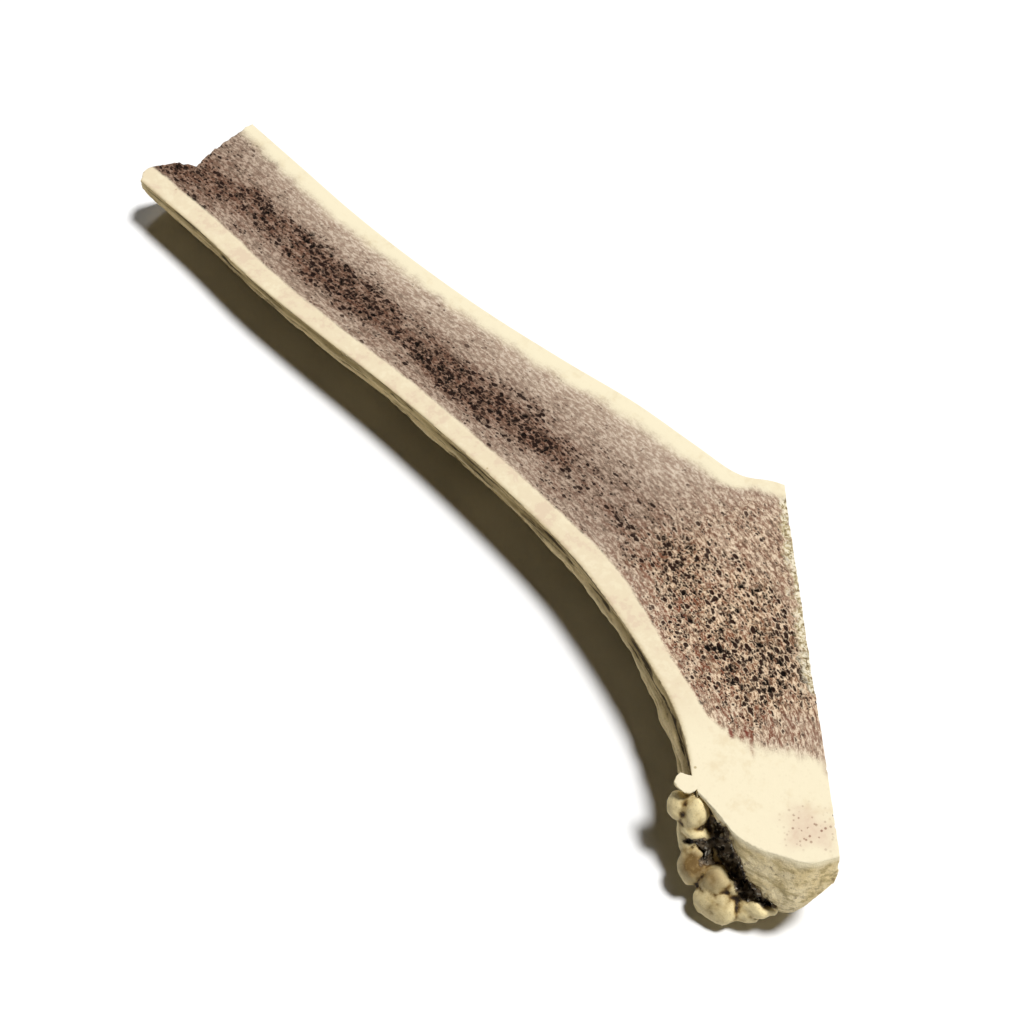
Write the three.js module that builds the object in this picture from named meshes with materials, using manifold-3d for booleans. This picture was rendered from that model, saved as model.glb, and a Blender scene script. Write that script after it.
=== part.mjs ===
// The burr end of a deer antler, sawn lengthwise through the middle and slantwise across its fork.
// It lies on its rounded back with the lengthwise sawn face up. The antler grew as one piece of bone,
// so it is one mesh: the shaft, the burr with its pearls and the domed seal are joined, then sawn.
//
// Everything is built in the frame of the sawn face: millimetres, the face in the plane z = 0, bone
// below it, +X from the burr along the straight arm. The finished group is then tipped by FACE_TILT
// and set down on the surface it rests on, with the origin under the middle of the piece.
import * as THREE from "three";
import { mergeVertices } from "three/addons/utils/BufferGeometryUtils.js";
import Module from "manifold-3d";

const wasm = await Module();
wasm.setup();

// ---- Driving dimensions ----------------------------------------------------------------------

// Cross sections from the burr to the far end. left and right are the two edges of the sawn face,
// depth is how deep the back bulges under it, belly is where across the face it is deepest (0 at the
// left edge, 1 at the right), and lean is how far the section leans towards the burr as it goes down.
const SECTIONS = [
  { left: [-78.1, 28.8], right: [-103.4, 20.7], depth: 12.4, belly: 0.48, lean: 0.7 },
  { left: [-75.6, 27.4], right: [-101.8, 12.5], depth: 13.8, belly: 0.5, lean: 0.6 },
  { left: [-72.3, 24.7], right: [-97.5, 4.5], depth: 15.0, belly: 0.52, lean: 0.5 },
  { left: [-68.0, 21.6], right: [-90.5, -4.0], depth: 16.1, belly: 0.55, lean: 0.4 },
  { left: [-62.5, 18.6], right: [-81.3, -11.5], depth: 16.9, belly: 0.58, lean: 0.28 },
  { left: [-55.5, 15.9], right: [-71.0, -19.5], depth: 17.1, belly: 0.6, lean: 0.18 },
  { left: [-48.5, 13.6], right: [-60.5, -27.0], depth: 16.9, belly: 0.61, lean: 0.1 },
  { left: [-42.5, 11.9], right: [-52.5, -31.6], depth: 16.5, belly: 0.6, lean: 0.05 },
  { left: [-37.5, 10.6], right: [-45.4, -30.2], depth: 16.0, belly: 0.58, lean: 0.02 },
  { left: [-31.4, 9.2], right: [-38.8, -26.5], depth: 15.2, belly: 0.55, lean: 0 },
  { left: [-22.0, 7.9], right: [-28.0, -25.9], depth: 14.4, belly: 0.53, lean: 0 },
  { left: [-10.0, 6.9], right: [-13.0, -25.3], depth: 13.8, belly: 0.52, lean: 0 },
  { left: [5.0, 6.1], right: [4.0, -23.2], depth: 13.3, belly: 0.5, lean: 0 },
  { left: [24.0, 5.7], right: [24.0, -21.3], depth: 12.9, belly: 0.5, lean: 0 },
  { left: [44.0, 6.1], right: [44.0, -20.6], depth: 12.6, belly: 0.5, lean: 0 },
  { left: [62.0, 6.1], right: [62.0, -20.9], depth: 12.3, belly: 0.5, lean: 0 },
  { left: [80.0, 4.9], right: [80.0, -22.1], depth: 12.1, belly: 0.5, lean: 0 },
  { left: [97.0, 4.3], right: [97.0, -23.2], depth: 11.8, belly: 0.5, lean: 0 },
];

// The burr's chord across the sawn face, from the left edge, and the way the burr faces.
const CHORD = new THREE.Vector3(-0.952, -0.306, 0);
const BURRWARD = new THREE.Vector3(-0.306, 0.952, 0);
const CHORD_LENGTH = 26.6;
const CHORD_START = new THREE.Vector3(-78.1, 28.8, 0);
const BURR_LEAN = 0.7;

// The seal, where the antler was cast: how far its dome stands out along the sawn face and how deep
// it reaches below it, both at equal steps along the chord. ROOT is how deep it sits in the bone, and
// FALL is the share of the dome's height that is gone at its lower outline.
const SEAL_BULGE = [0, 2.1, 4.4, 5.0, 4.5, 3.3, -1.5];
const SEAL_DEPTH = [0.3, 2.6, 6.6, 12.0, 13.8, 12.4, 1.5];
const SEAL_ROOT = 5;
const SEAL_FALL = 0.97;
const SEAL_OVERCUT = 1;
const SEAL_COLUMNS = 18;
const SEAL_ROWS = 8;

// The crevice round the seal: the floor of the burr end, sunk below its rim.
const CREVICE_DEPTH = 2.6;
const CREVICE_MIDDLE = [15, 5];

// The far end is cut square over its right part and snapped off on the left, where a lip of bone
// stands out: pairs of place across the face and length past the last section.
const TIP_PROFILE = [
  [0, 3.6], [0.06, 5.4], [0.12, 5.7], [0.18, 5.1], [0.25, 3.9], [0.34, 2.3], [0.4, -1.1],
  [0.5, -0.5], [0.6, 0], [0.9, 0.1], [0.96, 0.3], [1, -0.5],
];
const TIP_REACH = 14;

// Pearls of the burr: centre, and the half sizes along the chord, down the leaning burr and out of it.
const PEARLS = [
  { at: [-75.5, 28.2, -1.0], size: [2.5, 2.5, 2.1] },
  { at: [-75.9, 31.0, -4.2], size: [2.0, 2.6, 1.9] },
  { at: [-79.2, 30.2, -4.4], size: [2.5, 4.0, 2.4] },
  { at: [-81.0, 31.4, -7.4], size: [2.8, 1.9, 2.3] },
  { at: [-83.6, 35.2, -11.4], size: [2.6, 3.5, 2.6] },
  { at: [-88.3, 34.5, -11.6], size: [2.8, 2.9, 2.6] },
  { at: [-90.0, 35.7, -14.8], size: [4.3, 3.6, 3.3] },
  { at: [-91.5, 33.1, -11.2], size: [1.3, 1.7, 1.4] },
  { at: [-94.8, 33.2, -14.8], size: [2.9, 2.6, 2.4] },
  { at: [-96.2, 32.7, -12.7], size: [2.4, 1.8, 1.9] },
  { at: [-98.1, 31.0, -12.4], size: [1.4, 1.4, 1.3] },
  { at: [-79.6, 29.8, -12.0], size: [2.6, 3.0, 2.6] },
  { at: [-85.2, 31.6, -15.0], size: [3.0, 2.8, 2.8] },
  { at: [-91.2, 30.4, -15.2], size: [3.0, 2.6, 2.6] },
  { at: [-95.8, 27.6, -13.0], size: [2.4, 2.2, 2.4] },
];
const PEARL_SIDES = 12;
const PEARL_RINGS = 8;

// The flange: the flat root of the burr, from which the pearls grow.
const FLANGE = { at: [-89.0, 24.6, -5.3], size: [12.8, 13.4, 3.2] };
const FLANGE_SIDES = 24;
const FLANGE_RINGS = 14;

// The collar that carries the pearls runs round the end of the shaft, just under them.
const COLLAR_PATH = [
  [-76.4, 27.8, -2.5], [-78.2, 30.2, -6.5], [-81.1, 32.6, -10.3], [-86.0, 33.6, -13.2],
  [-91.0, 32.6, -13.6], [-95.0, 29.6, -12.4], [-97.0, 26.4, -10.2],
];
const COLLAR_RADIUS = 2.2;
const COLLAR_STEPS = 18;
const COLLAR_SIDES = 8;

// The slanting saw cut across the fork, and the narrow bevel along part of its upper edge.
const SAW_POINT = new THREE.Vector3(-102.7, 20.9, 0);
const SAW_OUTWARD = new THREE.Vector3(-0.678, -0.735, 0).normalize();
const BEVEL_WIDTH = 1.5;
const BEVEL_DROP = 0.9;
const BEVEL_SPAN = [31, 73];

// Lengthwise ridges of the outer surface, which fade out at the sawn edges. Towards the burr they grow
// knobs, and a groove with a broad shoulder under it runs below the left sawn edge.
const RIDGES = 8;
const RIDGE_HEIGHT = 0.3;
const RIDGE_HEIGHT_AT_BURR = 0.7;
const RIDGE_FADE = 0.3;
const RIDGE_GROWTH = [-10, 60];
const KNOB_HEIGHT = 0.5;
const SHOULDER = { height: 2.1, angle: 0.52, width: 0.3 };
const GROOVE = { height: -0.7, angle: 0.17, width: 0.1 };
const SHOULDER_SHARE = [
  [-110, 0], [-78, 0], [-74, 0.1], [-68, 0.55], [-60, 1], [-25, 1], [0, 0.5], [25, 0.15], [110, 0.1],
];
const KNOB_SPACING = 2.1;
const RIDGE_DRIFTS = [
  { swing: 0.7, length: 27 },
  { swing: 0.4, length: 11 },
];

// The largest pits of the spongy marrow, down the middle of the sawn face.
const PIT_COUNT = 64;
const PIT_RADIUS = 0.65;
const PIT_DEPTH = 1.5;
const PIT_SINK = 0.3;
const PIT_STRETCH = 1.5;
const PIT_SCALES = [0.75, 1.25];
const PIT_BAND = 9;
const PIT_SIDES = 5;
const MARROW_LINE = [
  [96, -9.5], [60, -7], [30, -7.5], [0, -9.5], [-30, -8.5], [-50, -5], [-66, 2], [-78, 10],
];

// Mesh fineness.
const RING_SPACING = 3.8;
const FACE_SEGMENTS = 12;
const BACK_SEGMENTS = 32;
const END_CAP_RINGS = 2;
const CUTTER_SIZE = 300;

// How the piece lies: the sawn face falls by this angle towards the far end, and the middle of the
// bottom of the piece's box, in the tipped frame of the sawn face, becomes the origin.
const FACE_TILT = THREE.MathUtils.degToRad(2);

// ---- Curves ----------------------------------------------------------------------------------

// A smooth curve through points given as [x, y] or [x, y, z].
function smoothCurve(points) {
  const through = points.map(([x, y, z = 0]) => new THREE.Vector3(x, y, z));
  return new THREE.CatmullRomCurve3(through, false, "catmullrom", 0.5);
}

// A smooth function through values at equal steps from 0 to 1.
function smoothValues(values) {
  const curve = smoothCurve(values.map((value) => [value, 0]));
  return (place) => curve.getPoint(THREE.MathUtils.clamp(place, 0, 1)).x;
}

// A function made of straight stretches between [place, value] pairs.
function stretches(pairs) {
  return (place) => {
    const next = Math.max(1, pairs.findIndex(([at]) => at >= place));
    const [[a, from], [b, to]] = [pairs[next - 1], pairs[next]];
    return THREE.MathUtils.mapLinear(place, a, b, from, to);
  };
}

const leftEdge = smoothCurve(SECTIONS.map((section) => section.left));
const rightEdge = smoothCurve(SECTIONS.map((section) => section.right));
const backDepth = smoothValues(SECTIONS.map((section) => section.depth));
const bellyPlace = smoothValues(SECTIONS.map((section) => section.belly));
const leanAt = smoothValues(SECTIONS.map((section) => section.lean));
const sealBulge = smoothValues(SEAL_BULGE);
const sealDepth = smoothValues(SEAL_DEPTH);
const tipLength = stretches(TIP_PROFILE);
const shoulderShare = stretches(SHOULDER_SHARE);

// ---- The shaft -------------------------------------------------------------------------------

// Height of the lengthwise ridges at an angle round the back, from 0 at the left edge to PI.
function ridge(x, angle) {
  const leftShare = 1 - angle / Math.PI;
  const burrShare = THREE.MathUtils.smoothstep(-x, ...RIDGE_GROWTH) * leftShare;
  const height = THREE.MathUtils.lerp(RIDGE_HEIGHT, RIDGE_HEIGHT_AT_BURR, burrShare);
  const fade =
    THREE.MathUtils.smoothstep(angle, 0, RIDGE_FADE) *
    THREE.MathUtils.smoothstep(Math.PI - angle, 0, RIDGE_FADE);
  const drift = RIDGE_DRIFTS.reduce((sum, { swing, length }) => sum + swing * Math.sin(x / length), 0);
  const knobs = 1 + KNOB_HEIGHT * burrShare * Math.sin(x / KNOB_SPACING + 3 * angle);
  const swell = [SHOULDER, GROOVE].reduce(
    (sum, band) => sum + band.height * Math.exp(-(((angle - band.angle) / band.width) ** 2)), 0);
  return -height * knobs * fade * Math.cos(2 * RIDGES * angle + drift) + swell * shoulderShare(x);
}

// One closed cross section: across the sawn face from left to right, then back under it.
function sectionRing(t) {
  const left = leftEdge.getPoint(t);
  const right = rightEdge.getPoint(t);
  const belly = bellyPlace(t);
  const depth = backDepth(t);
  const centre = left.clone().lerp(right, belly);
  const farX = leftEdge.getPoint(1).x;
  const tipShare = THREE.MathUtils.smoothstep(left.x, farX - TIP_REACH, farX);
  const ring = [];
  for (let i = 0; i <= FACE_SEGMENTS; i++) {
    const place = i / FACE_SEGMENTS;
    const point = left.clone().lerp(right, place);
    point.x += tipLength(place) * tipShare;
    ring.push(point);
  }
  for (let i = BACK_SEGMENTS - 1; i > 0; i--) {
    const angle = (Math.PI * i) / BACK_SEGMENTS;
    const side = angle < Math.PI / 2 ? belly : 1 - belly;
    const place = belly - side * Math.cos(angle);
    const down = depth * Math.sin(angle);
    const point = left.clone().lerp(right, place);
    point.z = -down;
    point.addScaledVector(point.clone().sub(centre).normalize(), ridge(left.x, angle));
    point.addScaledVector(BURRWARD, leanAt(t) * -point.z);
    point.x += tipLength(place) * tipShare;
    ring.push(point);
  }
  return ring;
}

// A point of the burr end, given along the chord, down the leaning burr and out of it.
function burrEndPoint(along, down, out) {
  const steepness = Math.hypot(1, BURR_LEAN);
  return CHORD_START.clone()
    .addScaledVector(CHORD, along)
    .addScaledVector(BURRWARD, (BURR_LEAN * down) / steepness + out)
    .setZ(-down / steepness);
}

// The inner rings that close the burr end with the sunken floor of the crevice.
function burrEndRings(ring) {
  const middle = burrEndPoint(...CREVICE_MIDDLE, -CREVICE_DEPTH);
  const sunk = ring.map((point) => point.clone().addScaledVector(BURRWARD, -CREVICE_DEPTH));
  const rings = [];
  for (let k = 1; k <= END_CAP_RINGS; k++) {
    const share = k / (END_CAP_RINGS + 1);
    rings.push(sunk.map((point) => point.clone().lerp(middle, share)));
  }
  return { rings, middle };
}

// A closed surface over a list of rings with equal numbers of points, and a point at each end.
function loft(rings, startPoint, endPoint) {
  const size = rings[0].length;
  const positions = [startPoint, ...rings.flat(), endPoint].flatMap((point) => point.toArray());
  const last = 1 + rings.length * size;
  const faces = [];
  for (let i = 0; i < size; i++) {
    const j = (i + 1) % size;
    faces.push(0, 1 + j, 1 + i);
    for (let r = 0; r + 1 < rings.length; r++) {
      const a = 1 + r * size;
      const b = a + size;
      faces.push(a + i, a + j, b + j, a + i, b + j, b + i);
    }
    const lastRing = last - size;
    faces.push(lastRing + i, lastRing + j, last);
  }
  const geometry = new THREE.BufferGeometry();
  geometry.setAttribute("position", new THREE.Float32BufferAttribute(positions, 3));
  geometry.setIndex(faces);
  return geometry;
}

// The whole grown arm as it was before the slanting cut, from the seal to the far end.
function shaft() {
  const rings = [];
  for (let i = 0; i + 1 < SECTIONS.length; i++) {
    const t = i / (SECTIONS.length - 1);
    const next = (i + 1) / (SECTIONS.length - 1);
    const gap = Math.max(
      leftEdge.getPoint(t).distanceTo(leftEdge.getPoint(next)),
      rightEdge.getPoint(t).distanceTo(rightEdge.getPoint(next)),
    );
    const steps = Math.round(gap / RING_SPACING);
    for (let k = 0; k < steps; k++) rings.push(sectionRing(THREE.MathUtils.lerp(t, next, k / steps)));
  }
  rings.push(sectionRing(1));
  const burrEnd = burrEndRings(rings[0]);
  const farRing = rings[rings.length - 1];
  const farMiddle = farRing
    .reduce((sum, point) => sum.add(point), new THREE.Vector3())
    .divideScalar(farRing.length);
  return loft([...burrEnd.rings.reverse(), ...rings], burrEnd.middle, farMiddle);
}

// ---- The burr --------------------------------------------------------------------------------

// Axes of the leaning burr: along the chord, down the burr and out of it.
const burrDown = BURRWARD.clone().multiplyScalar(BURR_LEAN).add(new THREE.Vector3(0, 0, -1)).normalize();
const burrOut = new THREE.Vector3().crossVectors(burrDown, CHORD).normalize();
const burrAxes = new THREE.Matrix4().makeBasis(CHORD.clone().negate().normalize(), burrDown, burrOut);

// The seal is a block whose outer side is shaped into the dome and whose lower side follows its outline.
function seal() {
  const geometry = new THREE.BoxGeometry(1, 1, 1, SEAL_COLUMNS, SEAL_ROWS, 1);
  const corners = geometry.attributes.position;
  for (let i = 0; i < corners.count; i++) {
    const place = corners.getX(i) + 0.5;
    const share = 0.5 - corners.getY(i);
    const reach = sealDepth(place);
    const dome = sealBulge(place) * Math.sqrt(1 - SEAL_FALL * share * share);
    const out = corners.getZ(i) > 0 ? dome : -SEAL_ROOT;
    const down = THREE.MathUtils.lerp(-SEAL_OVERCUT, reach, share);
    corners.setXYZ(i, ...burrEndPoint(place * CHORD_LENGTH, down, out).toArray());
  }
  return geometry;
}

function lump({ at, size }, sides, rings) {
  const geometry = new THREE.SphereGeometry(1, sides, rings);
  geometry.scale(...size);
  geometry.applyMatrix4(burrAxes);
  geometry.translate(...at);
  return geometry;
}

function collar() {
  const section = new THREE.Shape();
  section.absarc(0, 0, COLLAR_RADIUS, 0, 2 * Math.PI, false);
  return new THREE.ExtrudeGeometry(section, {
    extrudePath: smoothCurve(COLLAR_PATH),
    steps: COLLAR_STEPS,
    curveSegments: COLLAR_SIDES / 2,
    bevelEnabled: false,
  });
}

// ---- Saw cuts and pits -----------------------------------------------------------------------

// A block that fills the space in front of a plane, given by a point on it and its outward direction.
function blockBeyond(point, outward, across, span) {
  const geometry = new THREE.BoxGeometry(span, CUTTER_SIZE, CUTTER_SIZE);
  const along = new THREE.Vector3().crossVectors(outward, across);
  const axes = new THREE.Matrix4().makeBasis(across, along, outward);
  geometry.translate(0, 0, CUTTER_SIZE / 2);
  geometry.applyMatrix4(axes);
  geometry.translate(...point.toArray());
  return geometry;
}

const ABOVE = new THREE.Vector3(0, 0, 1);

function lengthwiseCut() {
  return blockBeyond(new THREE.Vector3(), ABOVE, new THREE.Vector3(1, 0, 0), CUTTER_SIZE);
}

function forkCut() {
  const along = new THREE.Vector3().crossVectors(ABOVE, SAW_OUTWARD);
  return blockBeyond(SAW_POINT, SAW_OUTWARD, along, CUTTER_SIZE);
}

// The bevel on the fork cut's upper edge: a block whose lower side passes BEVEL_WIDTH inside the
// edge at the sawn face and BEVEL_DROP below it at the cut.
function forkBevel() {
  const along = new THREE.Vector3().crossVectors(SAW_OUTWARD, ABOVE);
  const middle = (BEVEL_SPAN[0] + BEVEL_SPAN[1]) / 2;
  const point = SAW_POINT.clone()
    .addScaledVector(along, middle)
    .addScaledVector(SAW_OUTWARD, -BEVEL_WIDTH);
  const outward = SAW_OUTWARD.clone()
    .multiplyScalar(BEVEL_DROP)
    .addScaledVector(ABOVE, BEVEL_WIDTH)
    .normalize();
  return blockBeyond(point, outward, along, BEVEL_SPAN[1] - BEVEL_SPAN[0]);
}

// Pits are spread along the marrow line by the golden ratio, which never lines them up in rows.
function marrowPits() {
  const line = smoothCurve(MARROW_LINE);
  const golden = (Math.sqrt(5) - 1) / 2;
  const pits = [];
  for (let i = 0; i < PIT_COUNT; i++) {
    const centre = line.getPoint((i + 0.5) / PIT_COUNT);
    const spread = (((i * golden) % 1) - 0.5) * PIT_BAND;
    const scale = THREE.MathUtils.lerp(...PIT_SCALES, (i * golden * 7) % 1);
    const geometry = new THREE.ConeGeometry(PIT_RADIUS * scale, PIT_DEPTH * scale, PIT_SIDES);
    geometry.rotateX(-Math.PI / 2);
    geometry.scale(PIT_STRETCH, 1, 1);
    geometry.rotateZ(i);
    geometry.translate(centre.x, centre.y + spread, -PIT_SINK * PIT_DEPTH * scale);
    pits.push(geometry);
  }
  return pits;
}

// ---- Joining and sawing ----------------------------------------------------------------------

function solid(geometry) {
  const bare = geometry.clone();
  bare.deleteAttribute("normal");
  bare.deleteAttribute("uv");
  const merged = mergeVertices(bare, 1e-4);
  const vertProperties = new Float32Array(merged.attributes.position.array);
  const triVerts = new Uint32Array(merged.index.array);
  return new wasm.Manifold(new wasm.Mesh({ numProp: 3, vertProperties, triVerts }));
}

function geometryOf(manifold) {
  const mesh = manifold.getMesh();
  const geometry = new THREE.BufferGeometry();
  geometry.setAttribute("position", new THREE.BufferAttribute(mesh.vertProperties, 3));
  geometry.setIndex(new THREE.BufferAttribute(mesh.triVerts, 1));
  geometry.computeVertexNormals();
  return geometry;
}

const pearls = PEARLS.map((pearl) => lump(pearl, PEARL_SIDES, PEARL_RINGS));
const grown = [lump(FLANGE, FLANGE_SIDES, FLANGE_RINGS), collar(), seal(), ...pearls].reduce(
  (body, growth) => body.add(solid(growth)),
  solid(shaft()),
);
const sawn = [lengthwiseCut(), forkCut(), forkBevel(), ...marrowPits()].reduce(
  (body, tool) => body.subtract(solid(tool)),
  grown,
);

const bone = new THREE.MeshStandardMaterial({ color: 0xd9c9a3, roughness: 0.62, metalness: 0 });
const antler = new THREE.Mesh(geometryOf(sawn), bone);
antler.name = "split_antler";

// ---- Setting the piece down ------------------------------------------------------------------

const tipped = new THREE.Group();
tipped.rotation.y = FACE_TILT;
tipped.add(antler);
tipped.updateMatrixWorld(true);
const box = new THREE.Box3().setFromObject(tipped, true);
tipped.position.set(-(box.min.x + box.max.x) / 2, -(box.min.y + box.max.y) / 2, -box.min.z);

const group = new THREE.Group();
group.add(tipped);

export default group;
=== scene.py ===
"""The split deer antler: its fine surface, its finishes, the floor, the light and the camera.

The piece is worked out in the frame of its lengthwise sawn face: millimetres, the face in the plane
z = 0, bone below it, +X from the burr along the straight arm. The finished mesh is then tipped and set
down on the floor in metres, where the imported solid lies.
"""

import logging
import math
from dataclasses import dataclass, field
from enum import Enum, IntEnum
from typing import Any, Iterable, Sequence, Union

import bpy
import numpy as np
from mathutils import Matrix, Vector


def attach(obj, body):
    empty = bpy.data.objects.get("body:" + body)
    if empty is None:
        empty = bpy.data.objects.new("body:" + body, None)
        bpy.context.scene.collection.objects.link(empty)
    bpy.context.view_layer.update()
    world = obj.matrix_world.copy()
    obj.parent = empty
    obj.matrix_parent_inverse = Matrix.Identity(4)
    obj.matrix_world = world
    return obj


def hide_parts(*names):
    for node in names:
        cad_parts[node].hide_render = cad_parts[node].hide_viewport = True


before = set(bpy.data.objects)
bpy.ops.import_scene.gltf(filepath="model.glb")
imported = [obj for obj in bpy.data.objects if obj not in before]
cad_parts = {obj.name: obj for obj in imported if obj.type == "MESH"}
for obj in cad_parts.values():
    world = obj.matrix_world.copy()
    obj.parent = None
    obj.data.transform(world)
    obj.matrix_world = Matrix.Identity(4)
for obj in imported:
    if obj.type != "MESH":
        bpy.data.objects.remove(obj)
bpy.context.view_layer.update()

LOG = logging.getLogger("split_antler")
Array = np.ndarray
Socket = bpy.types.NodeSocket
Pair = tuple[float, float]
Triple = tuple[float, float, float]
Box = tuple[float, float, float, float]
Number = Union[float, "Value"]
Colour = Union[Triple, Socket]

# ---- Driving sizes, in millimetres ----------------------------------------------------------------

FACE_TILT = math.radians(2.0)
SET_DOWN = (0.7197, -4.2230, 15.2422)
TO_METRES = 0.001

DOWN = np.array([0.0, 0.0, -1.0])
CHORD = np.array([-0.952, -0.306, 0.0])
BURRWARD = np.array([-0.306, 0.952, 0.0])
CHORD_START = np.array([-78.1, 28.8, 0.0])
CHORD_LENGTH = 26.6
BURR_LEAN = 0.7
SAW_POINT = np.array([-102.7, 20.9, 0.0])
SAW_OUTWARD = np.array([-0.678, -0.735, 0.0]) / math.hypot(0.678, 0.735)
SAW_ALONG = np.array([-SAW_OUTWARD[1], SAW_OUTWARD[0], 0.0])


class Zone(IntEnum):
    """The kinds of surface on the piece, which are also its material slots in order."""

    GROWN = 0
    BURR = 1
    SEAL = 2
    CREVICE = 3
    FACE = 4
    FORK = 5
    BREAK = 6


@dataclass(frozen=True)
class Section:
    """One cross section of the arm, from the left edge of the sawn face to its right edge.

    depth, belly and lean shape the rounded back; wall_left and wall_right are the thickness of the
    compact wall; core is where across the face the marrow is most open, and openness how open.
    """

    left: Pair
    right: Pair
    depth: float
    belly: float
    lean: float
    wall_left: float
    wall_right: float
    core: float
    openness: float


SECTIONS = (
    Section((-78.1, 28.8), (-103.4, 20.7), 12.4, 0.48, 0.70, 4.0, 3.0, 0.50, 0.1),
    Section((-75.6, 27.4), (-101.8, 12.5), 13.8, 0.50, 0.60, 4.0, 3.0, 0.50, 0.1),
    Section((-72.3, 24.7), (-97.5, 4.5), 15.0, 0.52, 0.50, 3.8, 3.0, 0.50, 0.2),
    Section((-68.0, 21.6), (-90.5, -4.0), 16.1, 0.55, 0.40, 5.0, 3.0, 0.50, 0.4),
    Section((-62.5, 18.6), (-81.3, -11.5), 16.9, 0.58, 0.28, 4.2, 3.0, 0.50, 1.0),
    Section((-55.5, 15.9), (-71.0, -19.5), 17.1, 0.60, 0.18, 3.9, 3.0, 0.46, 1.0),
    Section((-48.5, 13.6), (-60.5, -27.0), 16.9, 0.61, 0.10, 4.3, 3.2, 0.38, 0.75),
    Section((-42.5, 11.9), (-52.5, -31.6), 16.5, 0.60, 0.05, 4.7, 3.4, 0.36, 0.65),
    Section((-37.5, 10.6), (-45.4, -30.2), 16.0, 0.58, 0.02, 4.8, 3.6, 0.37, 0.5),
    Section((-31.4, 9.2), (-38.8, -26.5), 15.2, 0.55, 0.0, 4.7, 3.8, 0.38, 0.35),
    Section((-22.0, 7.9), (-28.0, -25.9), 14.4, 0.53, 0.0, 4.3, 4.0, 0.38, 0.35),
    Section((-10.0, 6.9), (-13.0, -25.3), 13.8, 0.52, 0.0, 4.0, 4.2, 0.40, 0.6),
    Section((5.0, 6.1), (4.0, -23.2), 13.3, 0.50, 0.0, 4.0, 4.1, 0.38, 0.85),
    Section((24.0, 5.7), (24.0, -21.3), 12.9, 0.50, 0.0, 4.0, 3.9, 0.38, 1.0),
    Section((44.0, 6.1), (44.0, -20.6), 12.6, 0.50, 0.0, 3.9, 3.8, 0.44, 1.0),
    Section((62.0, 6.1), (62.0, -20.9), 12.3, 0.50, 0.0, 4.3, 3.9, 0.46, 1.0),
    Section((80.0, 4.9), (80.0, -22.1), 12.1, 0.50, 0.0, 4.4, 3.8, 0.43, 0.95),
    Section((97.0, 4.3), (97.0, -23.2), 11.8, 0.50, 0.0, 4.3, 3.0, 0.29, 0.9),
)
LAST = len(SECTIONS) - 1

# ---- Noise and curves -----------------------------------------------------------------------------

SEED_STEP, SEED_START = 7919, 17
LARGEST = 2**32 - 1
AXIS_FACTORS = (0x9E3779B1, 0x85EBCA77, 0xC2B2AE3D)
FOLDS = ((15, 0x85EBCA6B), (13, 0xC2B2AE35), (16, 1))


def scramble(cells: Array, seed: int) -> Array:
    """Turns whole-number cells into numbers that look random, the same on every run.

    Each coordinate is multiplied by a large odd number and folded into a running 32-bit mix.

    Args:
        cells: Whole numbers, shape (..., k) with k up to 3.
        seed: Chooses one of many independent patterns.

    Returns:
        Numbers from 0 to 1, shape (...).
    """
    mixed = np.full(cells.shape[:-1], seed * SEED_STEP + SEED_START, dtype=np.uint32)
    for axis in range(cells.shape[-1]):
        mixed ^= cells[..., axis].astype(np.int64).astype(np.uint32) * np.uint32(AXIS_FACTORS[axis])
        for shift, factor in FOLDS:
            mixed ^= mixed >> np.uint32(shift)
            mixed *= np.uint32(factor)
    return mixed / float(LARGEST)


def smooth_noise(points: Array, seed: int) -> Array:
    """Noise with bumps about one unit wide: random corner values of a unit grid, eased between.

    Args:
        points: Places, shape (n, k).
        seed: Chooses the pattern.

    Returns:
        Heights from -1 to 1, shape (n,).
    """
    cell = np.floor(points)
    part = points - cell
    eased = part * part * (3 - 2 * part)
    total = np.zeros(len(points))
    for corner in np.ndindex(*(2,) * points.shape[1]):
        share = np.where(np.array(corner) == 1, eased, 1 - eased).prod(axis=1)
        total += share * scramble(cell + np.array(corner), seed)
    return 2 * total - 1


def rough_noise(points: Array, seed: int, octaves: int = 3) -> Array:
    """Sum of smooth noises, each twice as fine and half as high as the one before.

    Args:
        points: Places, shape (n, k).
        seed: Chooses the pattern.
        octaves: How many noises are summed.

    Returns:
        Heights, mostly from -1 to 1.
    """
    return sum(smooth_noise(points * 2**k, seed + k) * 0.5**k for k in range(octaves))


@dataclass(frozen=True)
class Bumps:
    """One layer of noise: its height, the size of its bumps, its seed and its number of octaves."""

    height: float
    size: float
    seed: int
    octaves: int

    def at(self, points: Array) -> Array:
        """Heights at some points."""
        return self.height * rough_noise(points / self.size, self.seed, self.octaves)


def pit_field(places: Array, size: float, radii: Pair, chance: Array, seed: int) -> Array:
    """Depth of round pits scattered one to a square cell, where a pit of radius r is 1 - (d / r)^2 deep.

    Args:
        places: Points on the surface, shape (n, 2).
        size: Width of a cell.
        radii: Smallest and largest radius.
        chance: Share of the cells near each point that hold a pit.
        seed: Chooses the pattern.

    Returns:
        The deepest pit at each point, from 0 to 1.
    """
    cell = np.floor(places / size)
    deepest = np.zeros(len(places))
    for step in np.ndindex(3, 3):
        near = cell + np.array(step) - 1
        jitter = np.stack([scramble(near, seed), scramble(near, seed + 1)], axis=1)
        centre = (near + 0.1 + 0.8 * jitter) * size
        radius = radii[0] + (radii[1] - radii[0]) * scramble(near, seed + 2) ** 2
        there = np.clip((chance - scramble(near, seed + 3)) * 6, 0, 1)
        bowl = 1 - ((places - centre) ** 2).sum(axis=1) / radius**2
        deepest = np.maximum(deepest, np.clip(bowl, 0, 1) * there)
    return deepest


def ease(value: Array, low: float, high: float) -> Array:
    """Goes smoothly from 0 at low to 1 at high: 3s^2 - 2s^3 of the share s of the way."""
    share = np.clip((value - low) / (high - low), 0, 1)
    return share * share * (3 - 2 * share)


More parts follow.
